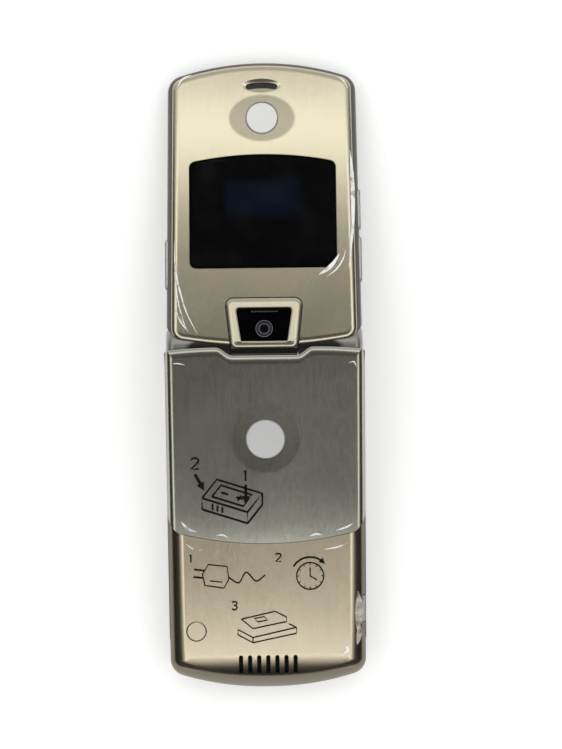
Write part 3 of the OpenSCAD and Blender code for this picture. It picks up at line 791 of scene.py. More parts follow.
class Solid:
    """A closed mesh in the millimetres of one half, cut and bevelled before it is placed."""

    def __init__(self, name: str, bm: bmesh.types.BMesh) -> None:
        """Takes over a finished bmesh.

        Args:
            name: Its name.
            bm: Its faces.
        """
        bmesh.ops.recalc_face_normals(bm, faces=bm.faces)
        self.obj = linked(name, bm)
        self.mesh = self.obj.data

    @staticmethod
    def lofted(name: str, rings: Sequence[Sequence[Vector]], closed: bool = False) -> "Solid":
        """Joins rings of equally many points.

        Args:
            name: Its name.
            rings: The rings in order.
            closed: True if the last ring joins the first; otherwise both ends are capped.

        Returns:
            The solid.
        """
        bm = bmesh.new()
        rows = [[bm.verts.new(p) for p in ring] for ring in rings]
        count = len(rows[0])
        pairs = list(zip(rows, rows[1:])) + ([(rows[-1], rows[0])] if closed else [])
        for a, b in pairs:
            for i in range(count):
                k = (i + 1) % count
                bm.faces.new((a[i], a[k], b[k], b[i]))
        if not closed:
            bm.faces.new(rows[0][::-1])
            bm.faces.new(rows[-1])
        return Solid(name, bm)

    @staticmethod
    def prism(name: str, points: Sequence[Point], z0: float, z1: float) -> "Solid":
        """An outline drawn up from z0 to z1."""
        return Solid.lofted(name, [[Vector((x, y, z)) for x, y in points] for z in (z0, z1)])

    @staticmethod
    def turned(name: str, profile: Sequence[Point], centre: Vector, steps: int = 64) -> "Solid":
        """A profile of radius and height turned round an upright axis.

        Args:
            name: Its name.
            profile: Pairs of radius and height; a radius of 0 at either end closes it.
            centre: Foot of the axis.
            steps: Facets round it.

        Returns:
            The solid.
        """
        rings = []
        for r, h in profile:
            ring = []
            for i in range(steps):
                a = 2 * math.pi * i / steps
                c, s = max(r, 1e-4) * math.cos(a), max(r, 1e-4) * math.sin(a)
                ring.append(centre + Vector((c, s, h)))
            rings.append(ring)
        return Solid.lofted(name, rings)

    @staticmethod
    def box(name: str, low: Sequence[float], high: Sequence[float]) -> "Solid":
        """A block from one corner to the other, for cutting."""
        points = ((low[0], low[1]), (high[0], low[1]), (high[0], high[1]), (low[0], high[1]))
        return Solid.prism(name, points, low[2], high[2])

    def remade(self) -> None:
        """Turns the modifiers into mesh."""
        made = bpy.data.meshes.new_from_object(self.obj.evaluated_get(bpy.context.evaluated_depsgraph_get()))
        self.obj.modifiers.clear()
        old, self.mesh, self.obj.data = self.mesh, made, made
        bpy.data.meshes.remove(old)

    def cut(self, *others: "Solid", kind: str = "DIFFERENCE") -> "Solid":
        """Cuts with other solids, which are used up.

        Args:
            others: The tools.
            kind: DIFFERENCE, INTERSECT or UNION.

        Returns:
            Itself.
        """
        for other in others:
            mod = self.obj.modifiers.new("cut", "BOOLEAN")
            mod.operation, mod.solver, mod.object = kind, "EXACT", other.obj
            bpy.context.view_layer.update()
            self.remade()
            bpy.data.objects.remove(other.obj)
        return self

    def bevel(self, width: float, segments: int = 2, angle: float = 40.0) -> "Solid":
        """Rounds its sharp edges.

        Args:
            width: Width of the rounding.
            segments: Its parts.
            angle: Edges sharper than this are rounded, in degrees.

        Returns:
            Itself.
        """
        mod = self.obj.modifiers.new("bevel", "BEVEL")
        mod.width, mod.segments, mod.use_clamp_overlap = width, segments, True
        mod.limit_method, mod.angle_limit = "ANGLE", math.radians(angle)
        bpy.context.view_layer.update()
        self.remade()
        return self

    def bevel_where(self, test: Callable[[Vector], bool], width: float, segments: int = 3) -> "Solid":
        """Rounds the sharp edges whose two ends pass a test.

        Args:
            test: Says whether a point belongs.
            width: Width of the rounding.
            segments: Its parts.

        Returns:
            Itself.
        """
        bm = bmesh.new()
        bm.from_mesh(self.mesh)
        edges = [e for e in bm.edges if all(test(v.co) for v in e.verts) and e.calc_face_angle(0.0) > 0.6]
        bmesh.ops.bevel(
            bm, geom=edges, offset=width, segments=segments, affect="EDGES", profile=0.5, clamp_overlap=True)
        bm.to_mesh(self.mesh)
        bm.free()
        return self

    def moved(self, change: Callable[[Vector], Vector]) -> "Solid":
        """Moves its points."""
        for v in self.mesh.vertices:
            v.co = change(v.co)
        return self

    def normals(self, angle: float) -> list[Vector]:
        """Normals of its corners, smooth across edges flatter than an angle, with flat tops kept flat.

        Args:
            angle: The largest smooth angle in degrees.

        Returns:
            One normal for each corner, the same for all corners of a fan.
        """
        bm = bmesh.new()
        bm.from_mesh(self.mesh)
        bm.faces.index_update()
        limit = math.radians(angle)
        weight = [f.calc_area() * (1.0e4 if f.normal.z > 0.99999 else 1.0) for f in bm.faces]
        found: dict[tuple[int, int], Vector] = {}
        for vert in bm.verts:
            left = set(vert.link_faces)
            while left:
                fan, queue = [], [left.pop()]
                while queue:
                    face = queue.pop()
                    fan.append(face)
                    for edge in face.edges:
                        if vert in edge.verts and edge.calc_face_angle(9.0) <= limit:
                            near = [f for f in edge.link_faces if f in left]
                            left.difference_update(near)
                            queue += near
                total = sum((f.normal * weight[f.index] for f in fan), Vector())
                for face in fan:
                    normal = total.normalized() if total.length > 1e-12 else face.normal.copy()
                    found[face.index, vert.index] = normal
        normals = [found[face.index, loop.vert.index] for face in bm.faces for loop in face.loops]
        bm.free()
        return normals

    def placed(self, half: Half, material: Material, slot: "Slot", *replaced: str,
               body: str | None = None, smooth: float = 32.0) -> Piece:
        """Puts the piece on the phone.

        Args:
            half: The half whose millimetres it is drawn in.
            material: Its finish.
            slot: The record's slot for that finish; not used.
            replaced: CAD nodes that it stands for.
            body: The body it rides on, if not the half's own.
            smooth: Edges flatter than this many degrees look smooth.

        Returns:
            The object.
        """
        normals = self.normals(smooth)
        turn = half.matrix.to_3x3().normalized()
        self.mesh.transform(half.matrix)
        for polygon in self.mesh.polygons:
            polygon.use_smooth = True
        self.mesh.set_sharp_from_angle(angle=math.radians(smooth))
        self.mesh.normals_split_custom_set([turn @ n for n in normals])
        self.mesh.materials.clear()
        self.mesh.materials.append(material)
        if replaced:
            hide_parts(*replaced)
        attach(self.obj, body or half.body)
        LOG.info("placed %s, %d faces", self.obj.name, len(self.mesh.polygons))
        return self.obj


# ---------------------------------------------------------------- sub-assemblies


def slot_points(x: float, y: float, width: float, length: float, steps: int = 10) -> list[Point]:
    """Points of a slot with round ends, standing along y.

    Args:
        x: Middle across.
        y: Middle along.
        width: Width.
        length: Length over the round ends.
        steps: Parts of each end.

    Returns:
        The points, counter-clockwise.
    """
    out = []
    for end, start in ((1, 0.0), (-1, math.pi)):
        for i in range(steps + 1):
            a = start + math.pi * i / steps
            middle = y + end * (length - width) / 2
            out.append((x + width / 2 * math.cos(a), middle + width / 2 * math.sin(a)))
    return out


def punch(points: Sequence[Point], low: float = 0.0) -> Solid:
    """A tool that cuts an outline from a height upwards."""
    return Solid.prism("tool", points, low, TALL)


def rod(reach: float, radius: float, steps: int = 96) -> Solid:
    """A tool round the hinge axis, across the phone."""
    circle = circle_points(0, 0, radius, steps)
    return Solid.lofted("tool", [[Vector((x, y, z)) for y, z in circle] for x in (-reach, reach)])


def bowl(x: float, y: float, z: float, rx: float, ry: float, depth: float, steps: int = 48) -> Solid:
    """A shallow bowl-shaped tool.

    Args:
        x: Middle across.
        y: Middle along.
        z: Height of its rim.
        rx: Half width.
        ry: Half length.
        depth: Depth.
        steps: Parts of its rim.

    Returns:
        The tool.
    """
    rings = []
    for share in (0.02, 0.3, 0.55, 0.78, 0.92, 1.0):
        low = z - depth * (1 - share * share)
        unit = circle_points(0, 0, 1, steps)
        rings.append([Vector((x + rx * share * c, y + ry * share * s, low)) for c, s in unit])
    rings.append([p + Vector((0, 0, 1.0)) for p in rings[-1]])
    return Solid.lofted("tool", rings)


Pen = tuple[float, float, float]
Stroke = list[Pen]


def line(width: float, *points: Point) -> Stroke:
    """A stroke of even width."""
    return [(x, y, width) for x, y in points]


def curved(points: Sequence[Point], parts: int = 6) -> list[Point]:
    """A smooth curve through points.

    Args:
        points: The points.
        parts: Parts between two points.

    Returns:
        Points of the curve.
    """
    out = []
    ends = [points[0], *points, points[-1]]
    for a, b, c, d in zip(ends, ends[1:], ends[2:], ends[3:]):
        for i in range(parts):
            t = i / parts
            out.append(tuple(
                0.5 * (2 * q + (r - p) * t + (2 * p - 5 * q + 4 * r - w) * t * t
                       + (3 * q - p - 3 * r + w) * t**3)
                for p, q, r, w in zip(a, b, c, d)))
    return out + [points[-1]]


def glint_stroke(width: float, *points: Point) -> Stroke:
    """A curved stroke that thins out towards both ends."""
    path = curved(points)
    last = len(path) - 1
    return [(x, y, max(width * math.sin(math.pi * i / last), 0.02)) for i, (x, y) in enumerate(path)]


def arrow(width: float, head: float, *points: Point) -> Stroke:
    """A stroke with a pointed head at its last point.

    Args:
        width: Width of the shaft.
        head: Width and length of the head.
        points: Points from tail to tip.

    Returns:
        The stroke.
    """
    (ax, ay), (bx, by) = points[-2:]
    back = Vector((ax - bx, ay - by)).normalized() * head
    neck = (bx + back.x, by + back.y)
    return line(width, *points[:-1], neck) + [(*neck, head), (bx, by, 0.03)]


GLYPHS: dict[str, tuple[tuple[Point, ...], ...]] = {
    "0": (((1, 0), (0, 1), (0, 5), (1, 6), (3, 6), (4, 5), (4, 1), (3, 0), (1, 0)),),
    "1": (((1, 5), (2, 6), (2, 0)),),
    "2": (((0, 5), (1, 6), (3, 6), (4, 5), (4, 4), (0, 0), (4, 0)),),
    "3": (((0, 5.5), (1, 6), (3, 6), (4, 5), (3, 3.2), (4, 1.5), (3, 0), (1, 0), (0, 0.6)),
          ((1.4, 3.2), (3, 3.2))),
    "4": (((3, 0), (3, 6), (0, 2), (4, 2)),),
    "5": (((4, 6), (0.4, 6), (0, 3.4), (3, 3.6), (4, 2.4), (4, 1.2), (3, 0), (0, 0)),),
    "6": (((3.6, 6), (1, 4.8), (0, 2.6), (0, 1), (1, 0), (3, 0), (4, 1),
           (4, 2.4), (3, 3.4), (1, 3.4), (0, 2.4)),),
    "7": (((0, 6), (4, 6), (1.4, 0)),),
    "8": (((1, 3.2), (0, 4.6), (1, 6), (3, 6), (4, 4.6), (3, 3.2), (1, 3.2), (0, 1.6), (1, 0), (3, 0),
           (4, 1.6), (3, 3.2)),),
    "9": (((0.4, 0), (3, 1.2), (4, 3.4), (4, 5), (3, 6), (1, 6), (0, 5), (0, 3.6), (1, 2.6), (3, 2.6),
           (4, 3.6)),),
    "star": (((2, 1), (2, 5)), ((0.3, 2), (3.7, 4)), ((0.3, 4), (3.7, 2))),
    "hash": (((1.2, 0.6), (1.6, 5.4)), ((2.8, 0.6), (3.2, 5.4)), ((0.2, 2), (4, 2)), ((0.4, 4), (4.2, 4))),
    "call": (((0, 4.6), (0.6, 2.4), (2, 1.2), (4, 1)), ((0, 4.6), (1, 4.2)), ((3.6, 2), (4, 1))),
    "dots": (((0, 1), (1, 1)), ((1.6, 1), (2.6, 1)), ((3.2, 1), (4.2, 1))),
    "bar": (((0, 3), (4, 3)),),
}


def glyph(name: str, x: float, y: float, height: float, width: float, mirror: bool = False) -> list[Stroke]:
    """Strokes of a sign.

    Args:
        name: Its name in GLYPHS.
        x: Middle across.
        y: Foot.
        height: Height.
        width: Width of the pen.
        mirror: True on faces that look down.

    Returns:
        The strokes.
    """
    unit = height / 6
    side = -1 if mirror else 1
    paths = [[(x + side * (gx - 2) * unit, y + gy * unit) for gx, gy in path] for path in GLYPHS[name]]
    return [line(width, *path) for path in paths]


def stroked(name: str, strokes: Sequence[Stroke], height: Callable[[float, float], float],
            thick: float) -> Solid:
    """Thin flat bars along strokes.

    Args:
        name: Name of the solid.
        strokes: Points with the width there.
        height: Height of the surface under a point.
        thick: Thickness; below zero on faces that look down.

    Returns:
        The solid.
    """
    bm = bmesh.new()
    for pens in strokes:
        rings = []
        for i, (x, y, w) in enumerate(pens):
            ahead, behind = pens[min(i + 1, len(pens) - 1)], pens[max(i - 1, 0)]
            way = Vector((ahead[0] - behind[0], ahead[1] - behind[1]))
            way = way.normalized() if way.length > 1e-6 else Vector((1.0, 0.0))
            sx, sy = -way.y * w / 2, way.x * w / 2
            corners = ((x + sx, y + sy), (x - sx, y - sy))
            low = [Vector((px, py, height(px, py))) for px, py in corners]
            high = [p + Vector((0, 0, thick)) for p in reversed(low)]
            rings.append([bm.verts.new(p) for p in (*low, *high)])
        for a, b in zip(rings, rings[1:]):
            for k in range(4):
                bm.faces.new((a[k], a[(k + 1) % 4], b[(k + 1) % 4], b[k]))
        bm.faces.new(rings[0][::-1])
        bm.faces.new(rings[-1])
    return Solid(name, bm)


LID_PLAN = BowedPlan(26.0, -2.5, 130.0, 25.2, 77.3, 71.0, 4.8)
BASE_PLAN = BowedPlan(26.2, -91.5, 74.0, 26.6, 12.0, 1.0e4, 4.8, (26, 12, 20, 9, 8))
WINDOW_PLAN = BowedPlan(19.5, 20.0, 1.0e4, 19.5, 51.0, 91.6, 1.8, (6, 8, 8, 8, 20))
HUMP_PLAN = CornerPlan(((-9.0, -1.7), (9.0, -1.7), (10.4, 11.9), (-10.4, 11.9)), 2.1)
HUMP_WINDOW = CornerPlan(((-6.1, -0.1), (6.1, -0.1), (7.5, 9.0), (-7.5, 9.0)), 0.8)


@dataclass
class LidShell:
    """Outer side of the lid: cover, display window, round plate and slot."""

    foot: float = 5.25
    out: float = 6.6
    skin: float = 0.6
    wall: float = 2.7
    gap: float = 0.12
    barrel: float = 6.0
    badge: tuple[float, float, float] = (0.0, 61.1, 4.35)
    slot_y: float = 70.1
    # painted shade: the cover darkens towards its rolled rim and in a patch round the round plate
    metal: BrushedMetal = BrushedMetal(
        "champagne_lid", (0.68, 0.62, 0.46), (0.5, 0.455, 0.335), LID, 0.18,
        swell=(10.0, 65.0, -2.7, 6.9, 2.0), edge=(5.4, 6.55, 0.35), painted_shade_patch=(0.0, 61.1, 8.8, 6.4, 0.55))

    def arched_slot(self) -> list[Point]:
        """The bowed slot under the earpiece."""
        middle, r, w, reach = self.slot_y - 18.0, 18.05, 0.8, math.radians(11.0)
        out = []
        for side, turn in ((1, 0.0), (-1, math.pi)):
            for i in range(17):
                a = math.pi / 2 + side * (2 * reach * i / 16 - reach)
                out.append(((r + side * w) * math.cos(a), middle + (r + side * w) * math.sin(a)))
            end = math.pi / 2 + side * reach
            cap_x, cap_y = r * math.cos(end), middle + r * math.sin(end)
            for i in range(1, 8):
                a = end + turn + math.pi * i / 8
                out.append((cap_x + w * math.cos(a), cap_y + w * math.sin(a)))
        return out

    def cover(self) -> Piece:
        """The metal cover with its openings."""
        edge = rounded_edge(1.25, self.foot, 1.95, self.out - self.foot, 10, 2.1)
        rows = [(self.wall, self.out - self.skin), (self.wall, self.foot)] + edge
        solid = Solid.lofted("lid_metal_cover", [LID_PLAN.spread(i, z) for i, z in rows])
        x, y, r = self.badge
        solid.cut(
            punch(WINDOW_PLAN.ring(-self.gap)),
            punch(HUMP_PLAN.ring(-self.gap)),
            punch(circle_points(x, y, r + self.gap), self.out - 0.35),
            bowl(0.0, self.slot_y, self.out, 5.4, 2.0, 0.32),
            punch(self.arched_slot(), self.foot - 1.0),
            rod(WIDE, self.barrel),
        )
        solid.bevel(0.09, 2, 38.0)
        return solid.placed(LID, self.metal.make(), Slot.CHAMPAGNE, "lid_cover")

    def window(self) -> Piece:
        """The display window, rounded at its edge."""
        edge = rounded_edge(0.0, self.out - 0.3, 0.45, 0.32, 5)
        rows = [(0.0, self.foot)] + edge
        solid = Solid.lofted("display_window", [WINDOW_PLAN.spread(i, z) for i, z in rows])
        glass = DarkGlass("window_glass", LID, (-10.0, 10.4, 34.0, 44.0))
        return solid.placed(LID, glass.make(), Slot.GLASS, "outer_window")

    def build(self) -> None:
        """All of it."""
        self.cover()
        self.window()
        dress(SpunMetal("lid_badge_metal", LID, self.badge).make(), "lid_badge")


@dataclass
class CameraHump:
    """Raised hood over the hinge with its dark window and lens."""

    foot: float = 5.25
    out: float = 7.2
    barrel: float = 6.35
    lens: tuple[float, float, float] = (0.0, 3.4, 2.3)
    dome: Point = (0.9, 0.18)
    metal: BrushedMetal = BrushedMetal(
        "champagne_hump", (0.6, 0.56, 0.43), (0.5, 0.465, 0.36), LID, 0.24,
        swell=(0.0, 12.0, 1.2, 0.0, 2.0))

    def hood(self) -> Piece:
        """The metal hood."""
        rows = [(0.0, self.foot)] + rounded_edge(0.02, self.out - 0.85, 1.7, 0.85, 10)
        solid = Solid.lofted("camera_hood", [HUMP_PLAN.spread(i, z) for i, z in rows])
        x, y, r = self.lens
        solid.cut(
            rod(WIDE, self.barrel),
            punch(HUMP_WINDOW.ring(-0.12), self.out - 0.45),
            punch(circle_points(x, y, r + 0.1)),
        )
        solid.bevel_where(lambda v: v.z > self.out - 0.05 and abs(v.x) < 7.7 and -0.4 < v.y < 9.2, 0.3, 3)
        solid.bevel(0.07, 2, 38.0)
        return solid.placed(LID, self.metal.make(), Slot.CHAMPAGNE, "camera_hump")

    def window(self) -> Piece:
        """The dark window with its lens hole."""
        rows = [(0.0, self.out - 0.4)] + rounded_edge(0.0, self.out - 0.2, 0.15, 0.15, 3)
        solid = Solid.lofted("hood_window", [HUMP_WINDOW.spread(i, z) for i, z in rows])
        x, y, r = self.lens
        solid.cut(punch(circle_points(x, y, r + 0.05))).bevel(0.04, 1, 50.0)
        return solid.placed(LID, DarkGlass("hood_glass", LID).make(), Slot.GLASS, "camera_window")

    def lens_glass(self) -> Piece:
        """The domed front lens."""
        x, y, _ = self.lens
        top = self.out - 0.56
        r, rise = self.dome
        dome = [(r * math.cos(a), top + rise * math.sin(a)) for a in (i * math.pi / 16 for i in range(8))]
        profile = [(r, top - 0.1), *dome, (0.02, top + rise)]
        solid = Solid.turned("lens_dome", profile, Vector((x, y, 0)), steps=48)
        return solid.placed(LID, DarkGlass("lens_glass", LID, back=(0.004, 0.003, 0.009)).make(), Slot.GLASS)

    def build(self) -> None:
        """All of it."""
        self.hood()
        self.window()
        self.lens_glass()
        dress(Moulded("lens_ring", (0.012, 0.012, 0.014), 0.25, 1.5e-6, 0.2).make(), "camera_module")
        x, y, r = self.lens
        rims = [line(0.12, *circle_points(x, y, ring, 48), (x + ring, y)) for ring in (r - 0.12, r * 0.62)]
        rims += [line(0.1, (x + 0.8 * i - 3.2, y + 4.6), (x + 0.8 * i - 2.8, y + 4.6)) for i in range(9)]
        rims += [line(0.1, (x + 0.8 * i - 3.2, y + 4.9), (x + 0.8 * i - 3.2, y + 4.4)) for i in range(9)]
        ink = Ink("lens_marks", (0.13, 0.13, 0.135), LID).make()
        stroked("lens_print", rims, lambda px, py: self.out - 0.045, 0.01).placed(LID, ink, Slot.GLASS)


@dataclass
class BaseShell:
    """Back of the base: battery door, lower cover, plug and loudspeaker slots."""

    back: float = 7.3
    skirt: float = 4.4
    seam: tuple[float, float] = (-49.0, 2.7)
    arm: tuple[float, float] = (-36.0, 4.3)
    badge: tuple[float, float, float] = (0.0, -23.9, 5.25)
    chin: float = -91.5
    end: float = 10.0
    barrel: float = 6.1
    sides: Point = (27.6, 26.6)  # half width of the door, and where the seam's ends are drawn in from
    sleeve: Point = (9.0, 6.6)  # half width and radius of the clearance under the hood
    dip: tuple[float, float, float, float] = (-1.7, 2.2, 8.4, 4.4)  # lowest y, rise, half width, run
    shoulder: tuple[float, float, float] = (13.0, 13.5, 0.8)  # start and run across, fall at its end
    rim: tuple[float, float, int] = (2.4, 0.9, 10)  # width, depth and parts of the rounded rim
    foot: float = 1.55  # height of the lower cover's lower edge
    jack: tuple[tuple[float, float, float], ...] = ((17.6, -73.5, 2.3), (31.6, -66.1, 5.5))
    plug: tuple[float, float, float] = (-19.0, -75.2, 2.6)
    slots: tuple[int, float, float, float, float] = (7, 2.42, -84.3, 1.13, 5.0)
    # painted shade: the lower cover darkens towards its rolled flank and chin
    metal: BrushedMetal = BrushedMetal(
        "champagne_base", (0.61, 0.535, 0.395), (0.45, 0.39, 0.29), BASE, 0.2,
        swell=(-50.0, -32.0, 2.5, 2.4, 2.0), edge=(6.0, 7.2, 0.3))
    # painted shade: the door's coat is a darker, greyer copy of the champagne coat, and it also darkens
    # towards its rolled sides and in a patch round its round plate
    door_metal: BrushedMetal = BrushedMetal(
        "door_metal", (0.5, 0.49, 0.42), (0.34, 0.335, 0.285), DOOR, 0.2,
        swell=(0.0, -49.0, 0.0, 3.0, 6.0), edge=(5.0, 6.6, 0.5), painted_shade_patch=(0.0, -23.9, 9.1, 9.1, 0.82))

    def door_outline(self, gap: float = 0.0) -> list[Point]:
        """Plan of the door, bowed at the hinge and curving in to the seam.

        Args:
            gap: How far the sides and the seam's edge lie outside the door itself.

        Returns:
            The points, clockwise from the middle of the seam.
        """
        half, wall = self.sides
        (seam_y, drop), (arm_y, arm_in) = self.seam, self.arm
        end_x = wall - arm_in + gap
        side = []
        for i in range(13):
            t = math.pi / 2 * i / 12
            x, y = (half - end_x + gap) * math.cos(t), (seam_y - arm_y - gap) * math.sin(t)
            side.append((end_x + x, arm_y + y))
        for i in range(1, 17):
            x = end_x * (1 - i / 16)
            side.append((x, seam_y - gap - drop * (1 - (x / end_x) ** 2)))
        top = [(x, self.hinge_edge(x)) for x in (half * i / 60 for i in range(61))]
        right = top + side
        return [(-x, y) for x, y in right[-2::-1]] + right[1:-1] + [right[-1]]

    def hinge_edge(self, x: float) -> float:
        """Where the door ends at the hinge, set back under the camera hood.

        Args:
            x: Place across.

        Returns:
            The place along.
        """
        (low, rise, half, run), (start, reach, fall) = self.dip, self.shoulder
        t = min(1.0, max(0.0, (abs(x) - half) / run))
        out = max(0.0, (abs(x) - start) / reach)
        return low + rise * t * t * (3 - 2 * t) - fall * out * out

    def door_chamfer(self) -> Solid:
        """Tool for the sloped rim along the hinge."""
        width, deep, steps = self.rim
        rings = []
        for x in (0.46 * i for i in range(-60, 61)):
            edge = self.hinge_edge(x)
            turns = [math.radians(72.0) * i / steps for i in range(steps + 1)]
            slope = [(edge - width * (1 - math.sin(a)), self.back - deep * (1 - math.cos(a))) for a in turns]
            slope += [(edge + 0.6, self.back - deep), (edge + 0.6, TALL), (edge - width, TALL)]
            rings.append([Vector((x, y, z)) for y, z in slope])
        return Solid.lofted("tool", rings)

    def door(self) -> Piece:
        """The battery door, a thin metal tray."""
        inner = rounded_edge(0.8, self.skirt, 2.4, self.back - self.skirt - 0.8, 9, 2.05)
        outer = rounded_edge(0.0, self.skirt, 2.4, self.back - self.skirt, 12, 2.05)
        solid = Solid.lofted("door_tray", [BASE_PLAN.spread(i, z) for i, z in inner[::-1] + outer])
        x, y, r = self.badge
        solid.cut(punch(self.door_outline()[::-1], -20.0), kind="INTERSECT")
        solid.cut(
            rod(WIDE, self.barrel),
            rod(*self.sleeve),
            bowl(x, y, self.back, 9.2, 9.2, 0.1, 64),
            punch(circle_points(x, y, r + 0.12), self.back - 0.3),
        )
        solid.cut(self.door_chamfer())
        solid.bevel_where(lambda v: v.z > 5.0 and v.y > -4.5, 0.12, 2)
        solid.bevel(0.08, 2, 38.0)
        return solid.placed(DOOR, self.door_metal.make(), Slot.DOOR, "battery_door", smooth=16.0)

    def rounded_end(self, v: Vector) -> Vector:
        """Lets the back fall away in a quarter round at the chin."""
        foot = self.foot
        if v.z <= foot or v.y > self.chin + self.end:
            return v
        share = min(1.0, (self.chin + self.end - v.y) / self.end)
        return Vector((v.x, v.y, foot + (v.z - foot) * math.sqrt(max(0.0, 1 - share * share))))

    def lower_cover(self) -> Piece:
        """The cover below the door, rolled at its flanks and rounded at the chin."""
        inner = [(11.0, 6.2)] + rounded_edge(1.2, 3.0, 4.3, 3.2, 8, 1.6)[::-1] + [(1.14, self.foot)]
        outer = [(0.07, self.foot)] + rounded_edge(0.1, 3.9, 4.3, 3.4, 12, 1.6)
        outer += [(i, self.back) for i in (5.2, 6.0, 7.0, 8.0, 9.0, 10.0, 11.0)]
        solid = Solid.lofted("chin_cover", [BASE_PLAN.spread(i, z) for i, z in inner + outer])
        solid.moved(self.rounded_end)
        count, pitch, y, width, length = self.slots
        tools = [punch(slot_points((i - (count - 1) / 2) * pitch, y, width, length), 2.0)
                 for i in range(count)]
        px, py, pr = self.plug
        solid.cut(
            punch(self.door_outline(0.12)[::-1], self.skirt - 20.0),
            Solid.box("tool", (-50.0, -77.8, -20.0), (50.0, 50.0, self.skirt - 0.05)),
            Solid.box("tool", (-50.0, -36.0, -20.0), (WIDE, WIDE, TALL)),
            punch(circle_points(px, py, pr + 0.12, 48)),
            Solid.box("tool", *self.jack),
            *tools,
        )
        solid.bevel(0.09, 2, 38.0)
        return solid.placed(BASE, self.metal.make(), Slot.CHAMPAGNE, "lower_cover")

    def build(self) -> None:
        """All of it."""
        self.door()
        self.lower_cover()
        dress(SpunMetal("door_badge_metal", DOOR, self.badge).make(), "door_badge")
        dress(BrushedMetal("plug_coat", (0.58, 0.51, 0.38), (0.52, 0.45, 0.33), BASE, 0.24,
                           swell=self.metal.swell).make(), "port_plug")


def profile_height(rows: Sequence[tuple[float, float]], inset: float) -> float:
    """Height of a rolled sheet at an inset.

    Args:
        rows: Pairs of inset and height, outermost first.
        inset: The inset asked for.

    Returns:
        The height, between the rows around it.
    """
    for (i0, z0), (i1, z1) in zip(rows, rows[1:]):
        if inset <= i1:
            return z0 + (z1 - z0) * max(0.0, (inset - i0) / (i1 - i0))
    return rows[-1][1]


